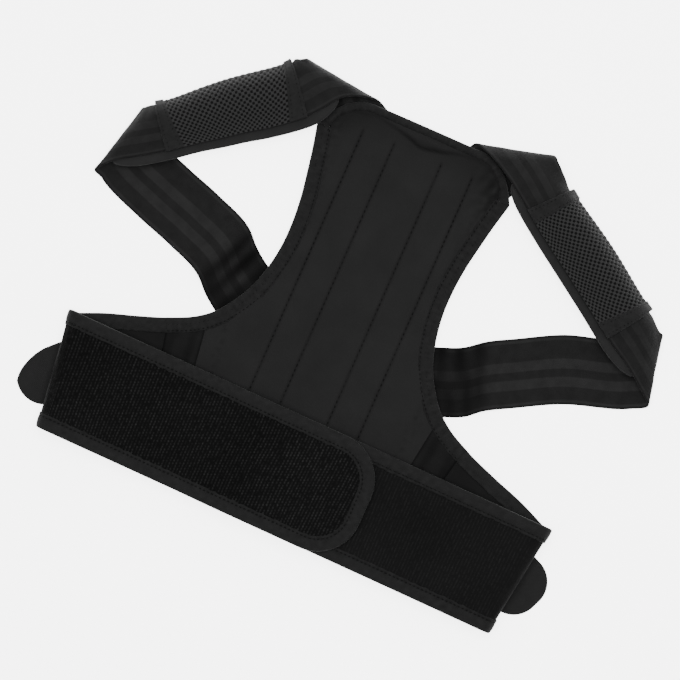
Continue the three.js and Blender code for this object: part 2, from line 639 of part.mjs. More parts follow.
// The cushion under the strap: it shows as a rim along the inside of the loop and past both ends.
function makePad(surface, places, name) {
  const from = places.pad[0];
  const to = places.pad[places.pad.length - 1];
  const acrossAt = (s) => {
    const rim = cornerInset(Math.min(s - from, to - s), PAD_CORNER) - RIM_WIDTH;
    const inner = [0, 0.25, 0.5].map((share) => lerp(rim / STRAP_WIDTH, ACROSS[1], share));
    return [...inner, ...ACROSS.slice(1)];
  };
  const top = -STRAP_THICK / 2 - 2 * GAP;
  addPiece(name, layer(surface, places.pad, acrossAt, top - PAD_THICK, top), materials.pad);
}

// The mesh sleeve over the strap, with a tape along each end.
function makeCover(surface, places, name) {
  const over = STRAP_THICK / 2 + GAP;
  const hem = COVER_OVERHANG / STRAP_WIDTH;
  const across = () => [-hem, ...ACROSS, 1 + hem];
  const cover = layer(surface, places.cover, across, over, over + COVER_THICK);
  addPiece(`pad_cover_${name}`, cover, materials.mesh);
  const tapeLow = over + COVER_THICK + GAP;
  const ends = { upper: places.cover.slice(0, 2), lower: places.cover.slice(-2) };
  for (const [end, stretch] of Object.entries(ends)) {
    const tape = layer(surface, stretch, across, tapeLow, tapeLow + TAPE_THICK);
    addPiece(`cover_tape_${name}_${end}`, tape, materials.tape);
  }
}

// The hook tab over the strap's end, which steps down to the surface past that end.
function makeTab(surface, name) {
  const [from, lapEnd, to] = ["tab start", "strap end", "tab tip"].map(surface.mark);
  const places = [from, ...roundedPlaces(from + 1, to, TAB_CORNER, 5, 5).slice(6)];
  const margin = (STRAP_WIDTH - TAB_WIDTH) / 2;
  const bounds = (s) => {
    const inset = margin + cornerInset(to - s, TAB_CORNER);
    return [inset / STRAP_WIDTH, 1 - inset / STRAP_WIDTH];
  };
  const low = (s) => STRAP_LEVEL * (1 - ease(s, lapEnd + GAP, lapEnd + TAB_LAP)) - STRAP_THICK / 2;
  const grid = (height) =>
    places.map((s) =>
      spread(0, 1, 4).map((share) => {
        const [start, end] = bounds(s);
        const point = surface.at(s, lerp(start, end, share));
        point.z += low(s) + height;
        return point;
      })
    );
  addPiece(name, sheetBody(grid(0), grid(TAB_THICK)), materials.hook);
}

const leftStrap = strapSurface(-1, LEFT_LOOP, LEFT_LOOP_REACH, 1, LEFT_TAB_REACH);
const rightStrap = strapSurface(1, RIGHT_LOOP, RIGHT_LOOP_REACH, 0, RIGHT_TAB_REACH);
for (const [surface, name] of [[leftStrap, "left"], [rightStrap, "right"]]) {
  const places = loopPlaces(surface);
  makeStrap(surface, places, `strap_${name}`);
  makePad(surface, places, `shoulder_pad_${name}`);
  makeCover(surface, places, name);
  makeTab(surface, `strap_tab_${name}`);
}

// The tape round the panel, from one gusset's outer seam up the side, over the neck and down again.
function bindPanel() {
  const sidePoints = (side) => {
    const panelEdge = PANEL_ROWS.map((share) => rowEnd(side, share))
      .filter(({ y }) => y > FLARE_TOP_Y + TAPE_THICK)
      .map(({ x, y }) => new THREE.Vector3(side * x, y, backMid(x, y)));
    const gussetEdge = GUSSET_COLUMNS.map(gussetTop).map(
      (x) => new THREE.Vector3(side * x, readOutline(side, "x", x, "y"), BACK_MID)
    );
    return [...gussetEdge.reverse(), ...panelEdge];
  };
  const neckPoints = spread(-1, 1, 26).map((share) => {
    const x = NECK_CORNER.x * Math.sin((share * Math.PI) / 2);
    return new THREE.Vector3(x, neckEdge(x), backMid(x, neckEdge(x)));
  });
  const points = [...sidePoints(-1), ...neckPoints.slice(1, -1), ...sidePoints(1).reverse()];
  const normals = points.map(() => new THREE.Vector3(0, 0, 1));
  addPiece("panel_binding", bindingBody(edgeFrames(points, normals, -1), PANEL_THICK), materials.tape);
}
bindPanel();

// The tape along the foot of the panel and its gussets.
function bindFoot() {
  const half = INSERT_FOOT_HALF + GUSSET_FOOT_WIDTH - GAP;
  const points = spread(-half, half, 6).map((x) => new THREE.Vector3(x, beltFoot(x), BACK_MID));
  const normals = points.map(() => new THREE.Vector3(0, 0, 1));
  addPiece("foot_binding", bindingBody(edgeFrames(points, normals, 1), PANEL_THICK), materials.tape);
}
bindFoot();

// The hook patch that closes the belt, between the two wings where they overlap.
function makeHookPatch() {
  const bottom = FRONT_MID + WING_THICK / 2 + GAP;
  const top = FRONT_MID + OVERLAP_LIFT - WING_THICK / 2 - GAP;
  const startX = END_CORNER - RIGHT_END_PAST_SPINE + GAP;
  const endX = LEFT_END_PAST_SPINE - TAPE_WIDTH - 2 * GAP;
  const places = [startX, ...roundedPlaces(startX, endX, END_CORNER - TAPE_WIDTH, 1, 3).slice(4)];
  const grid = (z) =>
    places.map((x) => {
      const inset = TAPE_WIDTH + 2 * GAP + cornerInset(endX - x, END_CORNER - TAPE_WIDTH);
      return spread(0, 1, 3).map((share) => {
        const y = lerp(beltTop(x) - inset, beltFoot(x) + inset, share);
        return new THREE.Vector3(x, y, z);
      });
    });
  addPiece("hook_patch", sheetBody(grid(bottom), grid(top)), materials.hook);
}
makeHookPatch();

// The origin is the middle of the base, on the surface that the object lies on.
const bounds = new THREE.Box3().setFromObject(corrector, true);
const middle = bounds.getCenter(new THREE.Vector3());
corrector.position.set(-middle.x, -middle.y, -bounds.min.z);

export default corrector;
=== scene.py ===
# %% [markdown]
# # A posture corrector, laid flat
#
# The real object is sewn from nine cloths: a quilted back panel, foam gussets, a ribbed elastic belt
# with a brushed loop wing, folded edge tapes, striped webbing straps, soft shoulder cushions in open
# mesh sleeves, and hook tabs. Each cell below makes one of them over the fixed model of its solids.
# Sizes are real millimetres, and the last step before a mesh turns them to metres.

import bpy
import numpy as np
from mathutils import Matrix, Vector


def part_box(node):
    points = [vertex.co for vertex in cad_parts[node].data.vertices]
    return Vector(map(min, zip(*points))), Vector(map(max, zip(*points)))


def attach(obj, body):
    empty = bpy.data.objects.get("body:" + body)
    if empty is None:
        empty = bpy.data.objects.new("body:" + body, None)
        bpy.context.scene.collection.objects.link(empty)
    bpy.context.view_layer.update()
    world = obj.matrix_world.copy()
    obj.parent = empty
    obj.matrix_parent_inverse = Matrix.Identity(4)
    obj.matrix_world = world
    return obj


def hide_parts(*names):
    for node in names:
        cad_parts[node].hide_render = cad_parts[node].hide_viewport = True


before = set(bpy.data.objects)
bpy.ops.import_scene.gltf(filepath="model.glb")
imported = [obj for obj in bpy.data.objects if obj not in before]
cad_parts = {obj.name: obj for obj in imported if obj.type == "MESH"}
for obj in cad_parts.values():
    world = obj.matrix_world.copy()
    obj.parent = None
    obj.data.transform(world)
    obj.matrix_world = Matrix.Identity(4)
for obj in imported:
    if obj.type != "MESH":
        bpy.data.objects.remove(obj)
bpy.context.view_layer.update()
print("solids in the model:", len(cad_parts))

# %% [markdown]
# ## Where the pieces lie
#
# The sewing pattern has its origin at the waist, on the spine. The model's origin is the middle of the
# whole footprint, so the pattern's place is read from the back panel's solid. These are the sizes that
# a maker would set first, and the cloths' thicknesses give the height of each layer.

# %% Named sizes
MM = 0.001

STRAP_THICK = 1.8
PANEL_THICK = 3.0
WING_THICK = 2.4
PAD_THICK = 4.5
COVER_THICK = 1.3
TAPE_THICK = 0.9
TAB_THICK = 1.8
GAP = 0.3

NECK_RISE = 231.0
WAIST_HALF = 74.0
FLAT_NECK_SHARE = 0.5
NECK_DROP = 32.0
CHANNELS = (22.0, 51.0)
CHANNEL_STOP = 22.0
INSERT_HALF = 109.0
INSERT_FOOT_HALF = 88.0
GUSSET_WIDTH = 30.0
GUSSET_FOOT_WIDTH = 25.0

BELT_DROP = 38.0
BELT_HEIGHT = 101.0
REACH = {-1: 219.0, 1: 234.0}
FOLD_LEAN = 14.0
BELT_TILT = np.radians(0.9)
PAST_SPINE = {-1: 80.0, 1: 22.0}
END_CORNER = 38.0
FOLD_PUFF = 2.0
FOLD_PUFF_LENGTH = 110.0
OVERLAP_RAMP = 55.0

STRAP_WIDTH = 60.0
LOOP_REACH = 250.0
LOOP_LOFT = 20.0
RIM_WIDTH = 11.0
PAD_PAST_FOOT = 30.0
PAD_CORNER = 20.0
COVER_OVERHANG = 1.5
TAPE_WIDTH = 12.0
CROSSING = np.radians(23)
CROSSING_STEP = 18.0
TAB_REACH = {-1: 270.0, 1: 261.0}
TAB_LENGTH = 76.0
TAB_WIDTH = 55.0
TAB_LAP = 26.0
TAB_CORNER = 24.0

STRAP_LEVEL = STRAP_THICK + GAP
BACK_Z = 2 * STRAP_LEVEL
BACK_MID = BACK_Z + PANEL_THICK / 2
PAD_STACK = PAD_THICK + STRAP_THICK + 3 * GAP
FRONT_MID = 17.2
OVERLAP_LIFT = WING_THICK + 2 * (TAPE_THICK + GAP) + GAP
NECK_CORNER = (1.2 * WAIST_HALF, 0.861 * NECK_RISE)

panel_low, panel_high = (np.array(corner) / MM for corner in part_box("back_panel"))
ORIGIN = np.array([(panel_low[0] + panel_high[0]) / 2, panel_high[1] - NECK_CORNER[1] - NECK_DROP, 0])
print("the waist's origin in the model, mm:", ORIGIN.round(2))

# %% [markdown]
# ## The camera
#
# The photograph looks straight down on the object, which lies turned by a good twenty degrees. A long
# lens far above keeps the picture free of perspective. The field of view is set by the real width that
# the picture covers, so the lens follows from that width and the height.

# %% Camera
PICTURE_WIDTH = 584.8
CAMERA_HEIGHT = 2500.0
CAMERA_TURN = np.radians(23.7)
PICTURE_MIDDLE = (-6.46, -19.37)

camera_data = bpy.data.cameras.new("camera")
camera_data.sensor_width = 36
camera_data.lens = camera_data.sensor_width * CAMERA_HEIGHT / PICTURE_WIDTH
camera = bpy.data.objects.new("camera", camera_data)
camera.location = (PICTURE_MIDDLE[0] * MM, PICTURE_MIDDLE[1] * MM, CAMERA_HEIGHT * MM)
camera.rotation_euler = (0, 0, CAMERA_TURN)
bpy.context.scene.collection.objects.link(camera)
bpy.context.scene.camera = camera
print("lens, mm:", round(camera_data.lens, 1))

# %% [markdown]
# ## Numbers that bend smoothly
#
# Every form here is a formula on a grid. A few small helpers carry most of it: a smooth step, a bell,
# a curve through the columns of a table, and steps that close up towards a rounded rim.


# %% Curve helpers
def ease(value, start, end):
    """A smooth step, 3t² - 2t³, where t is the clamped share of the way from start to end."""
    t = np.clip((value - start) / (end - start), 0, 1)
    return t * t * (3 - 2 * t)


def bell(value, middle, half):
    """A bell curve, exp(-t²), where t is the distance from the middle in half widths."""
    return np.exp(-(((value - middle) / half) ** 2))


def table_curve(run, columns, level=()):
    """Cubic Hermite curves through named columns. A slope is the weighted mean of its two chords.

    Columns named in level have slopes of at most three times the smaller chord, so they never swing
    past their rows.
    """
    steps = np.diff(run)
    slopes = {}
    for name, values in columns.items():
        chord = np.diff(values) / steps
        weight = steps[:-1] / (steps[:-1] + steps[1:])
        mean = chord[:-1] * (1 - weight) + chord[1:] * weight
        if name in level:
            least = np.minimum(np.abs(chord[:-1]), np.abs(chord[1:]))
            limit = np.where(chord[:-1] * chord[1:] > 0, 3 * least, 0)
            mean = np.clip(mean, -limit, limit)
        slopes[name] = np.concatenate([chord[:1], mean, chord[-1:]])

    def read(place):
        i = np.clip(np.searchsorted(run, place) - 1, 0, len(run) - 2)
        length = steps[i]
        t = (place - run[i]) / length
        found = {}
        for name, values in columns.items():
            a, b = values[i], values[i + 1]
            m, n = slopes[name][i] * length, slopes[name][i + 1] * length
            cubic = (2 * a - 2 * b + m + n) * t**3 + (3 * b - 3 * a - 2 * m - n) * t**2 + m * t + a
            found[name] = np.where((t < 0) | (t > 1), a + (b - a) * t, cubic)
        return found

    return read


def rim_places(low, high, radius, count, arc=4):
    """Places from low to high that close up at both ends as radius times 1 - cos of even angles."""
    close = radius * (1 - np.cos(np.linspace(0, np.pi / 2, arc + 1)))
    middle = np.linspace(low + radius, high - radius, count + 1)[1:-1]
    return np.concatenate([low + close, middle, (high - close)[::-1]])


def rim_fall(places, low, high, radius):
    """A rounded rim's share of the full thickness: a quarter circle over radius at both ends."""
    distance = np.clip(np.minimum(places - low, high - places), 0, radius)
    return np.sqrt(1 - (1 - distance / radius) ** 2)


def rimmed_grid(across, along):
    """A grid whose steps close up at its rims, and the rims' share of the thickness at each point.

    across and along hold low, high, rim radius and step count, as rim_places takes them.
    """
    w, s = np.meshgrid(rim_places(*across), rim_places(*along))
    return w, s, rim_fall(w, *across[:3]) * rim_fall(s, *along[:3])


def tip_places(start, end, close, count, kept, radius, arc):
    """Places to a rounded end: the first of so many even steps, then arc ones round the tip."""
    tip = end - radius * (1 - np.cos(np.linspace(np.pi / 2, 0, arc)))
    return np.unique(np.concatenate([rim_places(start, end, close, count)[:kept], tip]).round(4))


def corner_inset(distance, radius):
    """How far a rounded end draws an edge in: radius less the circle's half chord at that distance."""
    inside = np.clip(distance, 0, radius)
    return radius - np.sqrt(radius**2 - (radius - inside) ** 2)


def soft_noise(x, y, size, seed):
    """Smooth relief, mostly from -1 to 1: a quarter of the sum of eight sine waves about size long."""
    random = np.random.default_rng(seed)
    total = 0
    for angle, phase, scale in random.uniform([0, 0, 0.7], [np.pi, 2 * np.pi, 1.5], (8, 3)):
        along = x * np.cos(angle) + y * np.sin(angle)
        total = total + np.sin(2 * np.pi * along / (size * scale) + phase)
    return total / 4


# %% [markdown]
# ## From grids to meshes
#
# A cloth is two skins over one middle surface. They share the outermost points of the grid, so the
# body is closed and its rim is round, as a cut edge looks once it is pressed and sewn. A tape is a
# profile carried along a path. Both end in one function that writes the mesh and its flat pattern,
# a UV map in millimetres that woven and knitted finishes follow.


# %% Mesh helpers
def make_piece(name, points, faces, material, pattern=None, painted_shade_and_tone=None):
    """Writes points in mm and four-sided faces as a mesh, turned so that its volume is positive.

    pattern is each point's place on the flat cloth in mm, and the last argument how far the colour is
    darkened there, from 0 to 1: painted shade in grooves, folds and hollows, and a little darker tone.
    """
    a, b, c, d = (points[faces[:, k]] for k in range(4))
    volume = np.einsum("ij,ij->", a, np.cross(b, c)) + np.einsum("ij,ij->", a, np.cross(c, d))
    if volume < 0:
        faces = faces[:, ::-1]
    mesh = bpy.data.meshes.new(name)
    mesh.from_pydata((points + ORIGIN) * MM, [], faces)
    mesh.polygons.foreach_set("use_smooth", np.ones(len(faces), bool))
    if pattern is not None:
        corner = np.empty(len(mesh.loops), np.int32)
        mesh.loops.foreach_get("vertex_index", corner)
        layer = mesh.uv_layers.new(name="pattern")
        layer.data.foreach_set("uv", pattern[corner].astype(np.float32).ravel())
    if painted_shade_and_tone is not None:
        attribute = mesh.attributes.new("painted_shade_and_tone", "FLOAT", "POINT")
        attribute.data.foreach_set("value", painted_shade_and_tone.astype(np.float32).ravel())
    mesh.update()
    mesh.materials.append(material)
    piece = bpy.data.objects.new(name, mesh)
    bpy.context.scene.collection.objects.link(piece)
    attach(piece, "root")
    print(f"{name}: {2 * len(faces)} triangles")
    return piece


def grid_faces(ids):
    """The four-sided faces of a grid of point numbers."""
    return np.stack([ids[:-1, :-1], ids[1:, :-1], ids[1:, 1:], ids[:-1, 1:]], -1).reshape(-1, 4)


def skins(middle, normal, above, below):
    """Two skins over a grid of middle points. They share the rim, where their heights fall to 0."""
    rows, columns = middle.shape[:2]
    upper = middle + normal * above[..., None]
    lower = middle - normal * below[..., None]
    ids = np.arange(rows * columns).reshape(rows, columns)
    under = ids.copy()
    under[1:-1, 1:-1] = rows * columns + np.arange((rows - 2) * (columns - 2)).reshape(rows - 2, -1)
    points = np.concatenate([upper.reshape(-1, 3), lower[1:-1, 1:-1].reshape(-1, 3)])
    return points, np.concatenate([grid_faces(ids), grid_faces(under)[:, ::-1]])


def skins_pattern(u, v):
    """The flat pattern of both skins, in the order of their points."""
    flat = np.stack(np.broadcast_arrays(u, v), -1).astype(float)
    return np.concatenate([flat.reshape(-1, 2), flat[1:-1, 1:-1].reshape(-1, 2)])


def skins_painted_shade_and_tone(upper, lower=None):
    """Each skin's painted shade and darker tone, in the order of their points. Without lower, that skin has
    none.
    """
    lower = 0 * upper if lower is None else lower
    return np.clip(np.concatenate([upper.ravel(), lower[1:-1, 1:-1].ravel()]), 0, 1)


def unit(vectors):
    """The vectors at length one: each divided by the root of the sum of its squares."""
    return vectors / np.linalg.norm(vectors, axis=-1, keepdims=True)


def upright(points):
    """The normals of a level cloth: straight up at every point."""
    return np.broadcast_to([0.0, 0.0, 1.0], points.shape)


def normals_of(at, s, w, step_s, step_w, flip):
    """Unit normals of a surface at(s, w): the cross product of its two central differences."""
    along = at(s + step_s, w) - at(s - step_s, w)
    across = at(s, w + step_w) - at(s, w - step_w)
    return unit(flip * np.cross(along, across))


def tube_faces(count, sides):
    """Faces between the rings of a profile with so many sides, with a fan of quads on both ends."""
    ids = np.arange(count * sides).reshape(count, sides)
    body = grid_faces(np.concatenate([ids, ids[:, :1]], axis=1))
    k = np.arange(sides // 2 - 1)
    cap = np.stack([k, k + 1, sides - 2 - k, sides - 1 - k], -1)
    return np.concatenate([body, cap[:, ::-1], ids[-1][cap]])


# %% [markdown]
# ## Materials: a shared way of building them
#
# All the cloths are black, so small differences tell them apart: their grey, a little sheen on brushed
# knit and webbing with hardly any on foam, and the pattern of the yarn. Roughness and sheen are plain
# values on the shader. Weave and knit are bump from patterns worked out in real millimetres. One helper
# adds any node, and one turns a hex colour to linear light.


# %% Material helpers
def linear(hex_colour):
    """Linear RGBA from an sRGB hex colour: c/12.92 for dark values, ((c+0.055)/1.055)^2.4 above."""
    channels = np.array([int(hex_colour[i : i + 2], 16) for i in (1, 3, 5)]) / 255
    values = np.where(channels <= 0.04045, channels / 12.92, ((channels + 0.055) / 1.055) ** 2.4)
    return (*values, 1.0)


def add_node(tree, kind, settings=None, inputs=None):
    """Adds a node, sets its properties, and links or sets its inputs. Returns its first output."""
    node = tree.nodes.new(kind)
    for name, value in (settings or {}).items():
        setattr(node, name, value)
    for name, value in (inputs or {}).items():
        if isinstance(value, bpy.types.NodeSocket):
            tree.links.new(value, node.inputs[name])
        else:
            node.inputs[name].default_value = value
    return node.outputs[0]


def new_cloth(name, roughness, sheen, specular=0.06):
    """A rough fabric with the soft edge light of its fibres: the material, its tree and its shader.

    Dyed yarn mirrors far less light than solid plastic, since it goes in between the fibres, so the
    specular level is well under its usual 0.5.
    """
    material = bpy.data.materials.new(name)
    material.use_nodes = True
    tree = material.node_tree
    shader = next(node for node in tree.nodes if node.type == "BSDF_PRINCIPLED")
    shader.inputs["Roughness"].default_value = roughness
    shader.inputs["Sheen Weight"].default_value = sheen
    shader.inputs["Sheen Roughness"].default_value = 0.4
    shader.inputs["Specular IOR Level"].default_value = specular
    return material, tree, shader


def math_node(tree, operation, *values):
    """One step of arithmetic on sockets or plain numbers."""
    return add_node(tree, "ShaderNodeMath", {"operation": operation}, dict(enumerate(values)))


def remap(tree, value, low, high, to_low=0.0, to_high=1.0):
    """Stretches the range low to high onto to_low to to_high, and holds it there."""
    ends = {"From Min": low, "From Max": high, "To Min": to_low, "To Max": to_high}
    return add_node(tree, "ShaderNodeMapRange", {}, {"Value": value, **ends})


def flat_place(tree):
    """The two coordinates of a point on the flat cloth, in mm."""
    flat = add_node(tree, "ShaderNodeUVMap", {"uv_map": "pattern"})
    parts = add_node(tree, "ShaderNodeSeparateXYZ", {}, {0: flat}).node
    return parts.outputs["X"], parts.outputs["Y"]


def pattern_waves(tree, period_u, period_v=None):
    """Cosine waves over the flat pattern, from -1 to 1, with these periods in mm along u and v."""
    waves = []
    for place, period in zip(flat_place(tree), (period_u, period_v)):
        if period:
            waves.append(math_node(tree, "COSINE", math_node(tree, "MULTIPLY", place, 2 * np.pi / period)))
    return math_node(tree, "MULTIPLY", *waves) if period_v else waves[0]


def object_noise(tree, size_mm, detail=2.0):
    """Noise over the object's own coordinates, with lumps of about this many mm, from 0 to 1."""
    place = tree.nodes.new("ShaderNodeTexCoord").outputs["Object"]
    inputs = {"Vector": place, "Scale": 1 / (size_mm * MM), "Detail": detail}
    return add_node(tree, "ShaderNodeTexNoise", {}, inputs)


def mix_colours(tree, share, first, second):
    """The first colour where share is 0 and the second where it is 1."""
    mixed = add_node(tree, "ShaderNodeMix", {"data_type": "RGBA"}, {0: share, 6: first, 7: second})
    return mixed.node.outputs[2]


def clouds(tree, size_mm, detail, dark, light):
    """A colour that drifts between two greys, in clouds of about this many mm."""
    return mix_colours(tree, object_noise(tree, size_mm, detail), linear(dark), linear(light))


def dim(tree, colour, share):
    """The colour times a share."""
    return add_node(tree, "ShaderNodeVectorMath", {"operation": "SCALE"}, {0: colour, "Scale": share})


def paint(tree, shader, colour):
    """Links a colour to the shader, darkened where the mesh carries painted shade and darker tone."""
    painted_shade_and_tone = add_node(tree, "ShaderNodeAttribute", {"attribute_name": "painted_shade_and_tone"}).node.outputs["Fac"]
    kept = math_node(tree, "SUBTRACT", 1.0, painted_shade_and_tone)
    tree.links.new(dim(tree, colour, kept), shader.inputs["Base Color"])


def add_bump(tree, shader, layers):
    """Chains bump nodes for (height socket, depth in mm) layers and links them to the shader."""
    normal = None
    for height, depth in layers:
        inputs = {"Height": height, "Distance": depth * MM, "Strength": 1.0}
        if normal:
            inputs["Normal"] = normal
        normal = add_node(tree, "ShaderNodeBump", {}, inputs)
    tree.links.new(normal, shader.inputs["Normal"])


# %% [markdown]
# ## The panel's cloth: brushed nylon knit over foam
#
# The back panel is faced with a fine brushed knit. Its nap is short, so it looks nearly even, with a
# faint cloudiness where the nap lies in different directions. The knit loops are about half a
# millimetre, which the picture can't show, so the bump is drawn at 0.9 mm. The same recipe in other
# greys makes the gussets' foam, the cushions' tricot and the smooth back of the belt's elastic.


# %% Brushed knit
def brushed_knit(name, dark, light, sheen, cloud_mm=26):
    """Cloudy colour between two greys, with a fine grain as bump."""
    material, tree, shader = new_cloth(name, 0.9, sheen)
    paint(tree, shader, clouds(tree, cloud_mm, 3, dark, light))
    add_bump(tree, shader, [(object_noise(tree, 0.9, 1), 0.12), (object_noise(tree, 7, 2), 0.25)])
    return material


panel_knit = brushed_knit("brushed_nylon_knit", "#131313", "#191919", 0.04)
gusset_foam = brushed_knit("foam_laminate", "#0a0a0a", "#121212", 0.02, 12)
elastic_back = brushed_knit("smooth_elastic_back", "#0a0a0a", "#111111", 0.02, 30)
pad_knit = brushed_knit("brushed_tricot", "#161616", "#1c1c1c", 0.06, 15)
print("brushed cloths:", panel_knit.name, gusset_foam.name, elastic_back.name, pad_knit.name)

# %% [markdown]
# ## Belt elastics
#
# The left wing is a ribbed elastic: its ribs run across the belt every 3 mm, and each is a column of
# small dashes where the knit's loops turn over. The right wing is the same elastic with a brushed loop
# face for the hooks, so its ribs are blurred by fuzz. Both swallow light, and are the darkest cloths.


# %% Belt elastics
RIB_PITCH = 3.0
DASH_PERIOD = 2.6
YARN_GRAIN = 3.2
WORN_PATCH = 70


def belt_elastic(name, dark, light, dash_share, fuzz_mm, fuzz_depth):
    """Ribs in the colour, broken into dashes by a second wave and by grain, with fuzz as bump."""
    material, tree, shader = new_cloth(name, 0.95, 0.02, 0.03)
    rib = pattern_waves(tree, RIB_PITCH)
    dashes = pattern_waves(tree, 2 * RIB_PITCH, DASH_PERIOD)
    broken = math_node(tree, "MULTIPLY_ADD", dashes, dash_share, rib)
    grain = remap(tree, object_noise(tree, YARN_GRAIN, 3), 0.35, 0.7)
    share = math_node(tree, "MULTIPLY", remap(tree, broken, -0.4, 1.6), grain)
    yarn = mix_colours(tree, share, linear(dark), linear(light))
    worn = remap(tree, object_noise(tree, WORN_PATCH, 2), 0, 1, 0.6, 1.4)
    paint(tree, shader, dim(tree, yarn, worn))
    add_bump(tree, shader, [(object_noise(tree, fuzz_mm, 3), fuzz_depth)])
    return material


ribbed_elastic = belt_elastic("ribbed_polyester_elastic", "#080808", "#1e1e1e", 0.7, 1.2, 0.2)
loop_elastic = belt_elastic("brushed_loop_elastic", "#0c0c0c", "#161616", 0.2, 1.6, 0.5)
print("belt elastics:", ribbed_elastic.name, loop_elastic.name)

# %% [markdown]
# ## Striped webbing
#
# The shoulder webbing has two broad lighter bands and a thin one near each edge, where the weave
# floats over more threads and catches more light. The bands are a ramp read across the strap, from its
# flat pattern.

# %% Striped webbing
STRIPE_SOFTNESS = 0.4
LIGHT_BANDS = ((2.0, 4.2), (15.4, 24.0), (31.0, 39.6), (55.8, 58.0))


def striped_webbing():
    """Colour bands across the strap: each light band is a pair of steps in one ramp over the width."""
    material, tree, shader = new_cloth("striped_elastic_webbing", 0.8, 0.05)
    across = math_node(tree, "DIVIDE", flat_place(tree)[1], STRAP_WIDTH)
    stripes = add_node(tree, "ShaderNodeValToRGB", {}, {0: across})
    ramp = stripes.node.color_ramp
    dark, light = linear("#111111"), linear("#181818")
    ramp.elements[0].color = dark
    ramp.elements[1].color = dark
    for start, end in LIGHT_BANDS:
        for place, colour in (
            (start - STRIPE_SOFTNESS, dark),
            (start + STRIPE_SOFTNESS, light),
            (end - STRIPE_SOFTNESS, light),
            (end + STRIPE_SOFTNESS, dark),
        ):
            ramp.elements.new(place / STRAP_WIDTH).color = colour
    shade = remap(tree, object_noise(tree, 9, 3), 0.3, 0.7, 0.85, 1.15)
    paint(tree, shader, dim(tree, stripes, shade))
    weave = pattern_waves(tree, 1.8, 1.4)
    add_bump(tree, shader, [(weave, 0.06), (object_noise(tree, 1.5, 2), 0.12)])
    return material


webbing = striped_webbing()
print("webbing:", webbing.name, "with", len(LIGHT_BANDS), "light bands")

# %% [markdown]
# ## Tape, mesh, hook and thread
#
# The edge tape is a fine knit, folded over the cut edges. The spacer mesh has holes 4.8 mm apart, and
# the hook tape is a dense field of stiff hooks that looks smooth and dark. The thread is darker than
# every cloth that it holds.

# %% Tape, mesh, hook and thread
HOLE_PITCH = 4.8
HOLE_ROW = 2.87


def edge_tape():
    """A fine knit: small clouds of two greys, with a low knit pattern as bump."""
    material, tree, shader = new_cloth("knit_edge_tape", 0.85, 0.05)
    paint(tree, shader, clouds(tree, 5, 3, "#101010", "#1a1a1a"))
    add_bump(tree, shader, [(pattern_waves(tree, 2.4, 1.6), 0.05), (object_noise(tree, 1.8, 2), 0.15)])
    return material


def spacer_mesh():
    """Light yarn, and holes painted near black as the cushion below in shade: their share follows the dents'
    waves.
    """
    material, tree, shader = new_cloth("diamond_spacer_mesh", 0.8, 0.03)
    holes = pattern_waves(tree, HOLE_PITCH, 2 * HOLE_ROW)
    share = remap(tree, holes, -0.1, 0.4)
    paint(tree, shader, mix_colours(tree, share, linear("#202020"), linear("#050505")))
    add_bump(tree, shader, [(object_noise(tree, 1.0, 2), 0.15)])
    return material


def hook_cloth():
    """A field of tiny hooks 1.6 mm apart, as low bumps on an even dark ground."""
    material, tree, shader = new_cloth("nylon_hook_tape", 0.7, 0.03, 0.1)
    paint(tree, shader, clouds(tree, 8, 2, "#0c0c0c", "#131313"))
    add_bump(tree, shader, [(pattern_waves(tree, 1.6, 1.6), 0.1)])
    return material


def sewing_thread():
    """Twisted polyester thread: nearly black and without sheen, with a low twist as bump."""
    material, tree, shader = new_cloth("polyester_thread", 0.8, 0.0)
    shader.inputs["Base Color"].default_value = linear("#060606")
    add_bump(tree, shader, [(object_noise(tree, 0.6, 1), 0.05)])
    return material


tape_knit = edge_tape()
mesh_cloth = spacer_mesh()
hook_tape = hook_cloth()
thread = sewing_thread()
print("materials:", len(bpy.data.materials))

# %% [markdown]
# ## Stitches
#
# A lockstitch shows as a short length of thread that dips into the cloth at both ends. One stitch is a
# small bent sausage of a few dozen faces, and a seam is that shape copied to each place as one mesh.

# %% Stitch helper
STITCH_PITCH = 3.8
STITCH_RINGS = 6
STITCH_SIDES = 6


def sew(points, normals, length=2.7, pitch=STITCH_PITCH, thick=0.7, sink=0.35):
    """Stitches along a line of points: at each place a sausage whose ends dip by its thickness."""
    steps = np.linalg.norm(np.diff(points, axis=0), axis=1)
    run = np.concatenate([[0], np.cumsum(steps)])
    places = np.arange(pitch / 2, run[-1], pitch)

    def read(values, where):
        return np.stack([np.interp(where, run, values[:, k]) for k in range(3)], -1)

    middle = read(points, places)
    ahead = unit(read(points, places + 0.5) - read(points, places - 0.5))
    up = unit(read(normals, places))
    side = np.cross(up, ahead)
    t = np.linspace(-1, 1, STITCH_RINGS)[:, None]
    turn = np.linspace(0, 2 * np.pi, STITCH_SIDES, endpoint=False)[None, :]
    girth = thick / 2 * np.sqrt(np.clip(1.06 - t**2, 0, 1))
    x = np.broadcast_to(t * length / 2, (STITCH_RINGS, STITCH_SIDES))
    y = girth * np.cos(turn)
    z = girth * np.sin(turn) + thick / 2 - sink - thick * t**2
    local = np.stack([x, y, z], -1).reshape(1, -1, 3)
    stitches = (
        middle[:, None]
        + ahead[:, None] * local[..., :1]
        + side[:, None] * local[..., 1:2]
        + up[:, None] * local[..., 2:]
    )
    one = tube_faces(STITCH_RINGS, STITCH_SIDES)
    offsets = np.arange(len(places)) * STITCH_RINGS * STITCH_SIDES
    faces = (one[None] + offsets[:, None, None]).reshape(-1, 4)
    return stitches.reshape(-1, 3), faces


def make_seams(name, seams):
    """Joins several rows of stitches into one piece."""
    points, faces, count = [], [], 0
    for stitches, quads in seams:
        points.append(stitches)
        faces.append(quads + count)
        count += len(stitches)
    piece = make_piece(name, np.concatenate(points), np.concatenate(faces), thread)


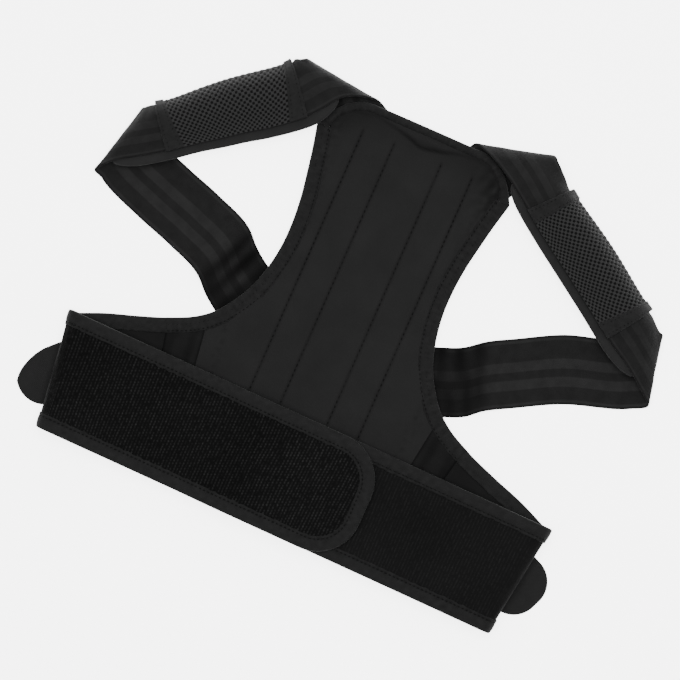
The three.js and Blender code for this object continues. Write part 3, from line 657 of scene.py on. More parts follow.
# %% [markdown]
# ## The pattern's outline
#
# The panel narrows to the waist and flares out into the belt, and the belt's two long edges sink a
# little to one side. The side is a table of half widths and heights, read as one smooth curve, that
# every neighbour uses: the panel, the gusset beside it, the belt's wing and the tapes.

# %% Panel outline
# Half width in waist halves and height in shares of the rise, from the neck corner down
PANEL_SIDE = np.array([
    (1.2, 0.861), (1.135, 0.771), (1.08, 0.68), (1.027, 0.58), (1, 0.476),
    (1, 0.411), (1.04, 0.307), (1.15, 0.19), (1.27, 0.121), (1.426, 0.056),
])
# Shares of the way out and of the way down, from there to the belt's fold
PANEL_FLARE = np.array([(0.09, 0.176), (0.28, 0.41), (0.52, 0.61), (0.81, 0.824), (1, 1)])


def belt_top(x):
    """The belt's upper edge, which sinks towards +X."""
    return -BELT_DROP - x * np.tan(BELT_TILT)


def belt_foot(x):
    """The belt's lower edge, one belt height below the upper one."""
    return belt_top(x) - BELT_HEIGHT


def outline(side):
    """Points down one side: a Hermite curve through the table, by the length of its chords."""
    upper = PANEL_SIDE * (WAIST_HALF, NECK_RISE)
    last = upper[-1]
    lower = last + PANEL_FLARE * (REACH[side] - last[0], belt_top(side * REACH[side]) - last[1])
    stops = np.concatenate([upper, lower])
    run = np.concatenate([[0], np.cumsum(np.linalg.norm(np.diff(stops, axis=0), axis=1))])
    found = table_curve(run, {"x": stops[:, 0], "y": stops[:, 1]})(np.linspace(0, run[-1], 480))
    return found["x"], found["y"]


OUTLINES = {side: outline(side) for side in (-1, 1)}


def flare_height(side, x):
    """The outline's height at a distance from the spine, past the waist."""
    xs, ys = OUTLINES[side]
    past_waist = np.argmin(xs)
    return np.interp(x, xs[past_waist:], ys[past_waist:])


FLARE_TOP = float(flare_height(1, INSERT_HALF))
print("the insert's seam starts at height, mm:", round(FLARE_TOP, 1))


def insert_half(side, y):
    """The inner panel's half width: the outline down to the insert's seam, then that straight seam."""
    xs, ys = OUTLINES[side]
    body = np.minimum(np.interp(y, ys[::-1], xs[::-1]), INSERT_HALF)
    share = (FLARE_TOP - y) / (FLARE_TOP + BELT_DROP + BELT_HEIGHT)
    seam = INSERT_HALF + (INSERT_FOOT_HALF - INSERT_HALF) * share
    return np.where(y > NECK_CORNER[1], NECK_CORNER[0], np.where(y > FLARE_TOP, body, seam))


def neck_edge(x):
    """The neck edge's height: level in the middle, then down to the corner as a power of 2.7."""
    share = np.minimum(np.abs(x) / NECK_CORNER[0], 1)
    bend = np.maximum(share - FLAT_NECK_SHARE, 0) / (1 - FLAT_NECK_SHARE)
    return NECK_CORNER[1] + NECK_DROP * (1 - bend**2.7)


# %% [markdown]
# ## The back panel
#
# Foam between two knits, quilted by four rows of stitches that hold flexible stays. The real one is
# soft but flat, so direct modelling beats a simulation here: each seam presses a narrow groove, and the
# cloth between them stands up in a low pillow. Near the neck it curls up in a wave, with a soft roll
# below the tape and a pucker in the right corner.

# %% Back panel
NECK_WAVE = 1.6
NECK_WAVE_PITCH = 95.0
NECK_CURL_DEPTH = 34.0
QUILT_RISE = 0.8
SEAM_DEPTH = 1.1
SEAM_HALF = 1.5
CHANNEL_PITCH = 4.8
CHANNEL_STITCH = {"length": 4.0, "pitch": CHANNEL_PITCH, "thick": 0.9, "sink": 0.1}
SIDE_RIM = 0.004
FOOT_RIM = 0.006
PANEL_ROWS = 210
PANEL_COLUMNS = 180
PANEL_LENGTH = NECK_CORNER[1] + NECK_DROP + BELT_DROP + BELT_HEIGHT
# The roll of cloth below the neck tape: its middle, its half width and its distance from the edge
NECK_ROLL_X = 3.0
NECK_ROLL_HALF = 27.0
NECK_ROLL_GAP = 10.5
# The pucker in the right neck corner: its place across and its distance from the edge
PUCKER_X = 76.0
PUCKER_GAP = 24.0


def back_middle(x, y):
    """The panel's middle height: a soft wave that fades in towards the neck tape."""
    wave = 0.5 + 0.5 * np.cos(2 * np.pi * x / NECK_WAVE_PITCH)
    curl = ease(y, neck_edge(x) - NECK_CURL_DEPTH, neck_edge(x) - TAPE_WIDTH - 2 * GAP)
    corner = ease(np.abs(x), FLAT_NECK_SHARE * NECK_CORNER[0], NECK_CORNER[0] - 1.5 * TAPE_WIDTH)
    return BACK_MID + NECK_WAVE * wave * curl * (1 - corner)


def panel_point(side_share, up_share):
    """A point of the inner panel from -1..1 across and 0..1 up, between its two curved sides."""
    height = belt_foot(0) + (NECK_CORNER[1] - belt_foot(0)) * up_share
    half = np.where(side_share < 0, insert_half(-1, height), insert_half(1, height))
    x = side_share * half
    foot = belt_foot(side_share * INSERT_FOOT_HALF)
    top = neck_edge(side_share * NECK_CORNER[0])
    return x, foot + (top - foot) * up_share


def seam_distance(x):
    """The distance to the nearest of the four stitched lines."""
    return np.min([np.abs(np.abs(x) - seam) for seam in CHANNELS], axis=0)


def stitched_share(x, y):
    """One along the stitched lines, and nothing above their ends."""
    stop = neck_edge(x) - CHANNEL_STOP
    return 1 - ease(y, stop - 2, stop + 2)


def quilting(x, y, edge):
    """Height over the plain panel: low pillows, and the narrow grooves of the stitched lines."""
    pillow = ease(edge, TAPE_WIDTH - 1, 1.5 * TAPE_WIDTH) * ease(neck_edge(x) - y, 4, 10)
    crease = 0.25 * soft_noise(x, y, 60, 5) + 0.12 * soft_noise(x * 1.6, y * 0.6, 16, 9)
    tugs = 0.75 + 0.25 * np.cos(2 * np.pi * y / STITCH_PITCH)
    groove = bell(seam_distance(x), 0, SEAM_HALF) * stitched_share(x, y)
    return pillow * (QUILT_RISE + crease) - SEAM_DEPTH * groove * tugs


def neck_roll(x, y):
    """The roll below the neck tape, as its height and as the share of the crease under it."""
    gap = neck_edge(x) - y
    bulge = bell(x, NECK_ROLL_X, NECK_ROLL_HALF)
    crest = 1.9 + 0.5 * soft_noise(x, y, 16, 18)
    fold_line = 6 + 9.5 * bulge + 0.8 * soft_noise(x, 0 * x, 22, 17)
    crease = bell(gap - fold_line, 1, 1.7) * (0.35 + 0.65 * bulge)
    return bulge * bell(gap, NECK_ROLL_GAP, 3.4) * crest, crease


def make_back_panel():
    """A grid over the panel: quilting, the roll below the neck, a puckered corner and tugged sides."""
    w, s, rim = rimmed_grid((-1, 1, SIDE_RIM, PANEL_COLUMNS), (0, 1, FOOT_RIM, PANEL_ROWS))
    x, y = panel_point(w, s)
    neck_gap = neck_edge(x) - y
    side_gap = (1 - np.abs(w)) * NECK_CORNER[0]
    roll, crease = neck_roll(x, y)
    puckered = bell(x, PUCKER_X, 17) * bell(neck_gap, PUCKER_GAP, 22) * (0.7 + 0.5 * soft_noise(x, y, 9, 14))
    tugged = bell(side_gap, 13, 4) * soft_noise(x, y, 7, 19)
    # The left shoulder turns away from the light, and so does the hollow below the roll
    shaded = ease(x, -20, -75) * ease(neck_gap, 46, 8) + ease(neck_gap, 34, 6) * ease(neck_gap, 2, 12)
    line = bell(seam_distance(x), 0, 1.2) * stitched_share(x, y)
    # Painted shade: darker in the stitched lines' grooves, in the puckers, in the crease under the roll, at
    # the sides' tugs and over the shaded parts above.
    painted_shade_and_tone = 0.35 * line + 0.2 * shaded + 0.5 * puckered + 0.55 * crease + 0.2 * tugged
    above = PANEL_THICK / 2 + quilting(x, y, np.minimum(side_gap, s * PANEL_LENGTH))
    above = above + 0.5 * puckered + roll - 0.9 * crease + 0.25 * tugged
    middle = np.stack([x, y, back_middle(x, y)], -1)
    points, faces = skins(middle, upright(middle), above * rim, PANEL_THICK / 2 * rim)
    flat = skins_pattern(x, y)
    piece = make_piece("quilted_back_panel", points, faces, panel_knit, flat, skins_painted_shade_and_tone(painted_shade_and_tone))
    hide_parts("back_panel")


make_back_panel()

# %% [markdown]
# The four stitched lines run from the foot to a finger's width below the neck tape.


# %% Channel stitches
def channel_seams():
    """One row of stitches for each line, on the floor of its groove."""
    seams = []
    for x0 in (-CHANNELS[1], -CHANNELS[0], CHANNELS[0], CHANNELS[1]):
        y = np.linspace(belt_foot(x0) + TAPE_WIDTH, neck_edge(x0) - CHANNEL_STOP, 400)
        x = np.full_like(y, x0)
        line = np.stack([x, y, back_middle(x, y) + PANEL_THICK / 2 + QUILT_RISE - SEAM_DEPTH], -1)
        seams.append(sew(line, upright(line), **CHANNEL_STITCH))
    return seams


make_seams("channel_stitches", channel_seams())

# %% [markdown]
# ## The side gussets
#
# Two foam pieces widen the panel towards the belt. They are duller and darker than the panel, and the
# seams pull a few soft upright folds into them.


# %% Gussets
SEAM_LAP = 0.8
WING_TOP = INSERT_HALF + GUSSET_WIDTH
WING_FOOT = INSERT_FOOT_HALF + GUSSET_FOOT_WIDTH


def make_gusset(side, node):
    """A grid from just under the insert's edge to the wing's seam, up from the belt's foot."""
    share, up, rim = rimmed_grid((0, 1, 0.01, 30), (0, 1, 0.012, 50))
    top_x = INSERT_HALF - SEAM_LAP + (GUSSET_WIDTH + SEAM_LAP) * share
    foot_x = INSERT_FOOT_HALF - SEAM_LAP + (GUSSET_FOOT_WIDTH + SEAM_LAP) * share
    low = belt_foot(side * foot_x)
    y = low + (flare_height(side, top_x) - low) * up
    x = foot_x + (top_x - foot_x) * up
    fold = np.sin(share * 11 + 2 * up) * ease(up, 0.35, 0.7) * ease(1 - up, 0.02, 0.15)
    seam = bell(share, 0, 0.05) + 1.3 * bell(share, 1, 0.06)
    # Painted shade: darker in the folds' hollows and along the dips of both seams.
    painted_shade_and_tone = 0.3 * np.maximum(-fold, 0) + 0.6 * seam
    middle = np.stack([side * x, y, np.full_like(x, BACK_MID)], -1)
    half = PANEL_THICK / 2 * rim
    above = half + (0.2 + 0.5 * fold - 0.4 * seam) * rim
    points, faces = skins(middle, upright(middle), above, half)
    flat = skins_pattern(x, y)
    piece = make_piece("foam_" + node, points, faces, gusset_foam, flat, skins_painted_shade_and_tone(painted_shade_and_tone))
    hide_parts(node)


make_gusset(-1, "side_gusset_left")
make_gusset(1, "side_gusset_right")

# %% [markdown]
# ## The belt's wings
#
# One strip of elastic a side: from the gusset out to the fold, round it, and back over the front. The
# left wing ends in round corners and lies on top. The ribs are real relief, a fifth of a millimetre
# high on the left wing and fainter under the right one's fuzz, because they show along the fold too.


# %% Wing surface
def wing_surface(side, lift):
    """The wing's middle: s 0-1 the back layer, 1-2 a half circle round the fold, 2-3 the front."""
    fold_mid = FRONT_MID + FOLD_PUFF
    radius = (fold_mid - BACK_MID) / 2
    reach = REACH[side]
    past = PAST_SPINE[side]

    def at(s, w):
        fold_x = reach - FOLD_LEAN * w - WING_THICK / 2 - radius
        seam_x = WING_TOP + (WING_FOOT - WING_TOP) * w - SEAM_LAP
        back_x = seam_x + (fold_x - seam_x) * s
        turn = (s - 1.5) * np.pi
        front_x = fold_x - (past + fold_x) * (s - 2)
        x = np.where(s <= 1, back_x, np.where(s <= 2, fold_x + radius * np.cos(turn), front_x))
        puff = FOLD_PUFF * ease(front_x, reach - FOLD_PUFF_LENGTH, reach - radius)
        round_z = (BACK_MID + fold_mid) / 2 + radius * np.sin(turn)
        z = np.where(s <= 1, BACK_MID, np.where(s <= 2, round_z, FRONT_MID + puff + lift(front_x)))
        start = WING_TOP - SEAM_LAP
        flare = flare_height(side, start + (reach - start) * np.clip(s, 0, 1))
        top = np.where(s <= 1, flare, belt_top(side * np.where(s <= 2, reach, x)))
        inset = np.where(s > 2, corner_inset(x + past, END_CORNER), 0)
        y = (top - inset) * (1 - w) + (belt_foot(side * x) + inset) * w
        return np.stack([side * x, y, z], -1)

    return at


OVERLAP_END = PAST_SPINE[1] + TAPE_WIDTH / 3


def left_lift(x):
    """The left wing climbs over the right one and rests on it."""
    return OVERLAP_LIFT * (1 - ease(x, OVERLAP_END, OVERLAP_END + OVERLAP_RAMP))


WINGS = {-1: wing_surface(-1, left_lift), 1: wing_surface(1, lambda x: 0 * x)}
STEP_S = 0.002
STEP_W = 0.01

# %% [markdown]
# The grid's columns close up at the rounded end, and there are four of them to each rib on the front.

# %% Wings
WING_ROWS = 34
WING_RIM = 0.016
SEAM_RIM = 0.003
END_RIM = 2.5
RIB_HEIGHT = {-1: 0.2, 1: 0.08}
# The smooth back layer's pattern is drawn over this length
BACK_PATTERN = 60.0


def make_wing(side, node, material):
    """Skins over the wing's surface. A rib is a cosine of the distance along the front."""
    at = WINGS[side]
    front = REACH[side] + PAST_SPINE[side]
    steps = int(front / RIB_PITCH) * 4
    close = END_RIM / front
    s = np.concatenate([
        rim_places(0, 1, SEAM_RIM, 36)[:-4],
        np.linspace(1, 2, 25),
        rim_places(2, 3, close, steps)[5:],
    ])
    w, s = np.meshgrid(rim_places(0, 1, WING_RIM, WING_ROWS), s)
    middle = at(s, w)
    inner_w = np.clip(w, STEP_W, 1 - STEP_W)
    normal = normals_of(at, np.clip(s, STEP_S, 3 - 2 * STEP_S), inner_w, STEP_S, STEP_W, side)
    # Each end of s has its own rim, so each is read over a run that ends only there
    rim = rim_fall(s, 0, 6, SEAM_RIM) * rim_fall(s, -3, 3, close) * rim_fall(w, 0, 1, WING_RIM)
    down = w * BELT_HEIGHT
    along = np.where(s < 2, BACK_PATTERN * (s - 2), (s - 2) * front)
    slant = along + 0.08 * down + 0.5 * soft_noise(along, down, 50, 3)
    ribs = RIB_HEIGHT[side] * np.cos(2 * np.pi * slant / RIB_PITCH) * ease(s, 1, 1.6)
    sag = 0.25 * soft_noise(along, down, 70, 11 + side) * ease(s, 1.8, 2.3) * np.sin(np.pi * w)
    half = WING_THICK / 2 - 0.2
    points, faces = skins(middle, normal, rim * (half + ribs + sag), rim * (half - sag))
    piece = make_piece("elastic_" + node, points, faces, material, skins_pattern(slant, down))
    piece.data.materials.append(elastic_back)
    wearer_side = np.arange(len(faces)) >= len(faces) // 2
    piece.data.polygons.foreach_set("material_index", wearer_side.astype(np.int32))
    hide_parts(node)


make_wing(-1, "belt_wing_left", ribbed_elastic)
make_wing(1, "belt_wing_right", loop_elastic)

# %% [markdown]
# ## Folded edge tapes
#
# A 12 mm knit tape is folded over each cut edge and held by a row of stitches near its inner edge. Its
# section is a flattened C with a round nose, carried along the edge's path. Over the stitches it is
# pressed in a little, and between them it puffs, which is what makes a sewn tape look sewn.

# %% Tape helpers
NOSE = 1.2
STITCH_INSET = 2.6


def tape_profile(cloth_thick):
    """The C section as depths in from the edge, heights, and which points are on its outer face."""
    inside = cloth_thick / 2 + 0.1
    outside = cloth_thick / 2 + GAP + TAPE_THICK
    flange = np.array([TAPE_WIDTH, TAPE_WIDTH - 0.5, TAPE_WIDTH - 1.6, TAPE_WIDTH - STITCH_INSET, 7.6, 4, 1])
    swell = np.array([-0.6, -0.3, -0.2, -0.45, 0.0, 0.1, -0.2])
    nose = np.linspace(0, np.pi, 9)
    inner = np.array([0.0, 3.0, 6.0, 9.0, 11.0, TAPE_WIDTH - 0.1])
    depth = np.concatenate([flange, -NOSE * np.sin(nose), flange[::-1], inner[::-1], inner])
    height = np.concatenate([
        outside + swell, 0.85 * outside * np.cos(nose), -(outside + swell[::-1]),
        np.full(len(inner), -inside), np.full(len(inner), inside),
    ])
    return depth, height, np.arange(len(depth)) < 2 * len(flange) + len(nose)


def smooth_path(points, *directions):
    """A path at even steps, three to a stitch: the length so far, the points and each direction."""
    run = np.concatenate([[0], np.cumsum(np.linalg.norm(np.diff(points, axis=0), axis=1))])
    places = np.linspace(0, run[-1], int(run[-1] / (STITCH_PITCH / 3)))

    def read(values):
        return np.stack([np.interp(places, run, values[:, k]) for k in range(3)], -1)

    return places, read(points), *(unit(read(values)) for values in directions)


def way_in(points, normals, turn_in):
    """The way in from an edge: its normal crossed with its direction, times turn_in, 1 or -1."""
    return unit(turn_in * np.cross(normals, np.gradient(points, axis=0)))


def make_tape(name, node, run, points, normals, inward, cloth_thick, seed, rows=(STITCH_INSET,), reach=1.0):
    """Carries the tape's section along an edge.

    Noise along and across it puffs it up, the stitches at rows press pits into it, and its inner
    edge wanders by half a millimetre. reach is the flange's share of the tape's width at each place.
    """
    depth, level, outer = tape_profile(cloth_thick)
    along = run[:, None]
    flat = np.stack(np.broadcast_arrays(along, depth), -1).reshape(-1, 2)
    reach = np.reshape(reach, (-1, 1))
    share = np.clip(depth / TAPE_WIDTH, 0, 1)
    puff = 0.8 * soft_noise(along, depth, 8, seed) * share * (1 - share)
    puff = puff + 0.1 * soft_noise(along, depth, 25, seed + 1)
    pits = sum(bell(TAPE_WIDTH - depth, row, 1.1) for row in rows)
    pits = pits * (0.5 - 0.5 * np.cos(2 * np.pi * along / STITCH_PITCH)) * (level > 0) * outer
    height = level + (puff - 0.3 * pits) * np.sign(level) * outer
    wander = 0.5 * soft_noise(along, 0 * along, 6, seed + 2) * share**3
    depth = np.where(depth > 0, depth * reach, depth) + wander
    section = points[:, None] + inward[:, None] * depth[..., None] + normals[:, None] * height[..., None]
    faces = tube_faces(*height.shape)
    # Painted shade: the tape darkens towards its inner edge and in the stitches' pits. Where it rolls at the
    # neck, its outer part is painted lighter as a highlight and its inner part darker as shade.
    roll_light_and_shade = 0.5 * (1 - reach)
    shade = 0.08 + 0.12 * soft_noise(along, depth, 7, seed + 3) + (0.1 + roll_light_and_shade) * share**2 - 0.25 * roll_light_and_shade
    painted_shade_and_tone = np.clip(shade + 0.3 * pits, 0, 1) * outer
    piece = make_piece(name, section.reshape(-1, 3), faces, tape_knit, flat, painted_shade_and_tone.ravel())
    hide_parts(node)


def tape_seam(points, normals, inward, cloth_thick, inset):
    """A row of stitches on a tape's upper flange, at a distance from its inner edge."""
    top = cloth_thick / 2 + GAP + TAPE_THICK - 0.25
    line = points + inward * (TAPE_WIDTH - inset) + normals * top
    return sew(line, normals)


# %% [markdown]
# One tape goes round each wing, from the gusset's top corner along the belt, round its end and back.


# %% Belt tapes
def wing_edge(side):
    """The wing's edge as points, normals and the way in: top edge out, end, foot edge back."""
    at = WINGS[side]
    front = REACH[side] + PAST_SPINE[side]
    layers = ((0, 1, 60), (1, 2, 25), (2, 3, 400))
    out = np.unique(np.concatenate([np.linspace(*layer) for layer in layers]))
    turn = 3 - END_CORNER * (1 - np.cos(np.linspace(np.pi / 2, 0, 30))) / front
    out = np.concatenate([out[out < turn[0]], turn])
    end_w = np.linspace(0, 1, 20)[1:-1]
    s = np.concatenate([out, np.full(len(end_w), 3.0), out[::-1]])
    w = np.concatenate([np.zeros(len(out)), end_w, np.ones(len(out))])
    points = at(s, w)
    inner_s, inner_w = np.clip(s, STEP_S, 3 - STEP_S), np.clip(w, STEP_W, 1 - STEP_W)
    normals = normals_of(at, inner_s, inner_w, STEP_S, STEP_W, side)
    straight = (s <= 2) & ((w == 0) | (w == 1))
    towards = unit(at(s, np.full_like(s, 0.5)) - points)
    return points, normals, np.where(straight[:, None], towards, way_in(points, normals, side))


def bind_wing(side, node):
    """The tape round a wing and its stitches."""
    run, path, up, way = smooth_path(*wing_edge(side))
    make_tape("tape_" + node, node, run, path, up, way, WING_THICK, 20 + side)
    make_seams("stitches_" + node, [tape_seam(path, up, way, WING_THICK, STITCH_INSET)])


bind_wing(-1, "belt_binding_left")
bind_wing(1, "belt_binding_right")

# %% [markdown]
# One long tape binds the panel: up one gusset and side, over the neck, and down the other side. It is
# sewn with two rows. A last one closes the foot, behind the belt.


# %% Panel tapes
SIDE_ROWS = (1.6, 7.2)
NECK_FLANGE = 6.0


def panel_edge():
    """Points along the panel's side and neck edges, from the left gusset to the right one."""
    sides = {}
    for side in (-1, 1):
        gusset_x = np.linspace(WING_TOP + 2 * SEAM_LAP, INSERT_HALF, 24)
        heights = np.linspace(FLARE_TOP + TAPE_THICK, NECK_CORNER[1], 160)
        x = np.concatenate([gusset_x, insert_half(side, heights)])
        y = np.concatenate([flare_height(side, gusset_x), heights])
        sides[side] = np.stack([side * x, y], -1)
    neck_x = NECK_CORNER[0] * np.sin(np.linspace(-1, 1, 160) * np.pi / 2)
    neck = np.stack([neck_x, neck_edge(neck_x)], -1)[1:-1]
    flat = np.concatenate([sides[-1], neck, sides[1][::-1]])
    return np.column_stack([flat, back_middle(flat[:, 0], flat[:, 1])])


def bind_panel():
    """The tape round the panel, with a double row of stitches."""
    edge = panel_edge()
    run, path, up = smooth_path(edge, upright(edge))
    way = way_in(path, up, -1)
    rolled = ease(path[:, 1], NECK_CORNER[1] - 6, NECK_CORNER[1] + 14)
    reach = 1 - (1 - NECK_FLANGE / TAPE_WIDTH) * rolled
    make_tape("tape_panel_binding", "panel_binding", run, path, up, way, PANEL_THICK, 31, SIDE_ROWS, reach)
    left = np.arange(len(path)) < len(path) // 2
    rows = []
    for part in (left, ~left):
        chosen = part & (rolled < 0.5)
        for inset in SIDE_ROWS:
            rows.append(tape_seam(path[chosen], up[chosen], way[chosen], PANEL_THICK, inset))
    make_seams("stitches_panel_binding", rows)


def bind_foot():
    """The tape along the foot of the panel and its gussets."""
    half = WING_FOOT - GAP
    x = np.linspace(-half, half, 120)
    path = np.stack([x, belt_foot(x), np.full_like(x, BACK_MID)], -1)
    up = upright(path)
    way = way_in(path, up, 1)
    make_tape("tape_foot_binding", "foot_binding", x + half, path, up, way, PANEL_THICK, 32)
    make_seams("stitches_foot_binding", [tape_seam(path, up, way, PANEL_THICK, STITCH_INSET)])


bind_panel()
bind_foot()

# %% [markdown]
# ## How the straps lie
#
# Each strap starts behind the panel beside the neck, folds over, runs through its sleeve, turns back at
# the far end, crosses behind the panel and ends under the far side of the belt. A table holds the
# section at each landmark, and a smooth curve joins them. Columns: the middle's place as shares of the
# loop's reach and of the neck's rise, the section's turn in degrees, its length in strap widths, and
# then how many straps (level) and pads (over) lie below it, its share of the loft (rise), its tilt
# (lean) and the height of its rounded outer side (arch).

# %% Strap tables
COLUMNS = ("x", "y", "turn", "span", "level", "over", "rise", "lean", "arch")
SEWN_END = {
    "sewn end": (0.128, 0.714, -30, 1, 1),
    "under panel": (0.164, 0.796, -28, 1),
    "under neck": (0.222, 0.905, -19, 1),
}
LEFT_LOOP = {
    **SEWN_END,
    "below crease": (0.286, 0.999, -1, 1.15),
    "crease": (0.336, 1.038, 6, 1.14, 0, 0.4, 0.1, 3),
    "above crease": (0.378, 1.027, 11, 0.93, 0, 1, 0.35, 0, 0.03),
    "over neck": (0.412, 1.005, 20, 0.82, 0, 1, 0.4, -5, 0.1),
    "cover top": (0.458, 0.944, 51, 0.82, 0, 1, 0.24, -11, 0.19),
    "cover mid": (0.65, 0.775, 51, 0.77, 0, 1, 0.2, -11, 0.22),
    "cover foot": (0.842, 0.604, 53, 0.69, 0, 1, 0.2, -11, 0.2),
    "past pad": (0.892, 0.568, 82, 0.765, 0, 1, 0.22, -7, 0.14),
    "turning": (0.93, 0.539, 97, 0.89, 0, 1, 0.16, -4, 0.07),
    "far fold": (0.958, 0.504, 105, 1.09, 0, 0.6, 0.1),
    "turned": (0.914, 0.465, 113, 0.99, 0, 0, 0.04),
    "lower run": (0.746, 0.39, 112, 1),
    "lower mid": (0.612, 0.342, 111, 1),
    "hump": (0.472, 0.275, 114, 1, 0, 0, 0.22),
    "kink": (0.428, 0.227, 114, 1, 0, 0, 0.02),
    "panel edge": (0.372, 0.182, 114, 1),
}
RIGHT_LOOP = {
    **SEWN_END,
    "below crease": (0.276, 1.002, 0, 1.04),
    "crease": (0.3, 1.057, 14, 1.1, 0, 0.4, 0.1, 3),
    "above crease": (0.348, 1.035, 19, 0.95, 0, 1, 0.35, 0, 0.03),
    "over neck": (0.406, 0.993, 26, 0.8, 0, 1, 0.4, -5, 0.1),
    "cover top": (0.474, 0.937, 47, 0.68, 0, 1, 0.24, -11, 0.2),
    "cover mid": (0.688, 0.787, 49, 0.73, 0, 1, 0.2, -11, 0.22),
    "cover foot": (0.896, 0.632, 56, 0.72, 0, 1, 0.2, -11, 0.2),
    "past pad": (0.95, 0.594, 75, 0.72, 0, 1, 0.22, -7, 0.14),
    "turning": (1, 0.554, 90, 0.8, 0, 1, 0.16, -4, 0.07),
    "far fold": (1.042, 0.519, 102.5, 0.99, 0, 0.6, 0.1),
    "turned": (0.97, 0.468, 114, 1, 0, 0, 0.04),
    "lower run": (0.744, 0.379, 112, 1),
    "lower mid": (0.612, 0.301, 111, 1),
    "hump": (0.516, 0.242, 111, 1, 0, 0, 0.2),
    "kink": (0.46, 0.193, 114, 1, 0, 0, 0.02),
    "panel edge": (0.386, 0.158, 114, 1),
}
print("landmarks on each loop:", len(LEFT_LOOP), len(RIGHT_LOOP))

# %% [markdown]
# Past the panel's edge both straps lie straight, mirror images but for the one that lies on the other.
# So the rows from there to the tab's tip are worked out from the crossing's angle. The surface is then
# one function of two numbers: s, the length along the strap, and w, the share of its width.

# %% Strap surfaces
STRAP_STEP = 0.5


def crossing_rows(crossing_level, reach, tab_reach):
    """The rows on the crossing line: over or under the other strap, then straight to the tab."""
    straight = (90 + np.degrees(CROSSING), 1)
    oblique = (180 - np.degrees(CROSSING), 1 / np.sin(2 * CROSSING))
    end = STRAP_WIDTH / 2 / np.sin(2 * CROSSING) + STRAP_THICK
    rows = {
        "step foot": (end + CROSSING_STEP, oblique, 0),
        "step top": (end, oblique, crossing_level),
        "crossing": (0, oblique, crossing_level),
        "far step top": (-end, oblique, crossing_level),
        "far step foot": (-end - CROSSING_STEP, oblique, 0),
        "past crossing": (-2 * end - CROSSING_STEP, straight, 0),
        "tab start": (TAB_LENGTH - tab_reach, straight, 0),
        "strap end": (TAB_LENGTH - TAB_LAP - tab_reach, straight, 0),
        "tab tip": (-tab_reach, straight, 0),
    }
    return {
        name: (d * np.cos(CROSSING) / reach, d * np.sin(CROSSING) / NECK_RISE, *section, level)
        for name, (d, section, level) in rows.items()
    }


def strap_surface(side, loop, crossing_level, tab_reach):
    """The strap's middle at(s, w): a section turned and tilted at each place along the table's curve.

    w runs from 0 at the loop's inner edge to 1 at the outer one, where the arch lifts the section by
    6.75 w² (1 - w) times its height.
    """
    rows = {**loop, **crossing_rows(crossing_level, LOOP_REACH, tab_reach)}
    table = np.array([(*row, *[0] * (len(COLUMNS) - len(row))) for row in rows.values()], float)
    columns = dict(zip(COLUMNS, table.T))
    rest = STRAP_THICK / 2 + columns["level"] * STRAP_LEVEL
    columns["z"] = rest + columns["over"] * PAD_STACK + columns["rise"] * LOOP_LOFT
    columns["x"] = columns["x"] * LOOP_REACH
    columns["y"] = columns["y"] * NECK_RISE
    places = np.stack([columns["x"], columns["y"], columns["z"]], -1)
    run = np.concatenate([[0], np.cumsum(np.linalg.norm(np.diff(places, axis=0), axis=1))])
    wanted = {name: columns[name] for name in ("x", "y", "turn", "z", "span", "lean", "arch")}
    read = table_curve(run, wanted, ("z", "span", "lean", "arch"))

    def at(s, w):
        row = read(s)
        turn, lean = np.radians(row["turn"]), np.radians(row["lean"])
        reach = (w - 0.5) * row["span"] * STRAP_WIDTH
        inside = np.maximum(w, 0)
        arch = 6.75 * inside**2 * (1 - inside) * row["arch"] * STRAP_WIDTH
        x = row["x"] + reach * np.cos(turn) * np.cos(lean)
        y = row["y"] + reach * np.sin(turn) * np.cos(lean)
        z = np.maximum(row["z"], STRAP_THICK / 2) + reach * np.sin(lean) + arch
        return np.stack([side * x, y, z], -1)

    return at, dict(zip(rows, run))


STRAPS = {
    -1: strap_surface(-1, LEFT_LOOP, 1, TAB_REACH[-1]),
    1: strap_surface(1, RIGHT_LOOP, 0, TAB_REACH[1]),
}
for side, (at, marks) in STRAPS.items():
    print("strap", side, "length, mm:", round(marks["strap end"], 1))


def strap_normals(side, s, w):
    """The normals of a strap's surface, which point up where it runs through its sleeve."""
    return normals_of(STRAPS[side][0], s, w, STRAP_STEP, STEP_W, side)


# %% [markdown]
# ## The straps
#
# Woven elastic, 60 mm wide. It is modelled straight on its surface, because a remesh for simulation
# would erase so thin a strip. Ripples across it stand in for the slack of stretched elastic, and where
# it goes in behind the panel it is gathered: pleats lie across it, and that stretch is painted darker as
# shade, most in the pleats' hollows.


# %% Straps
STRAP_ROW = 2.6


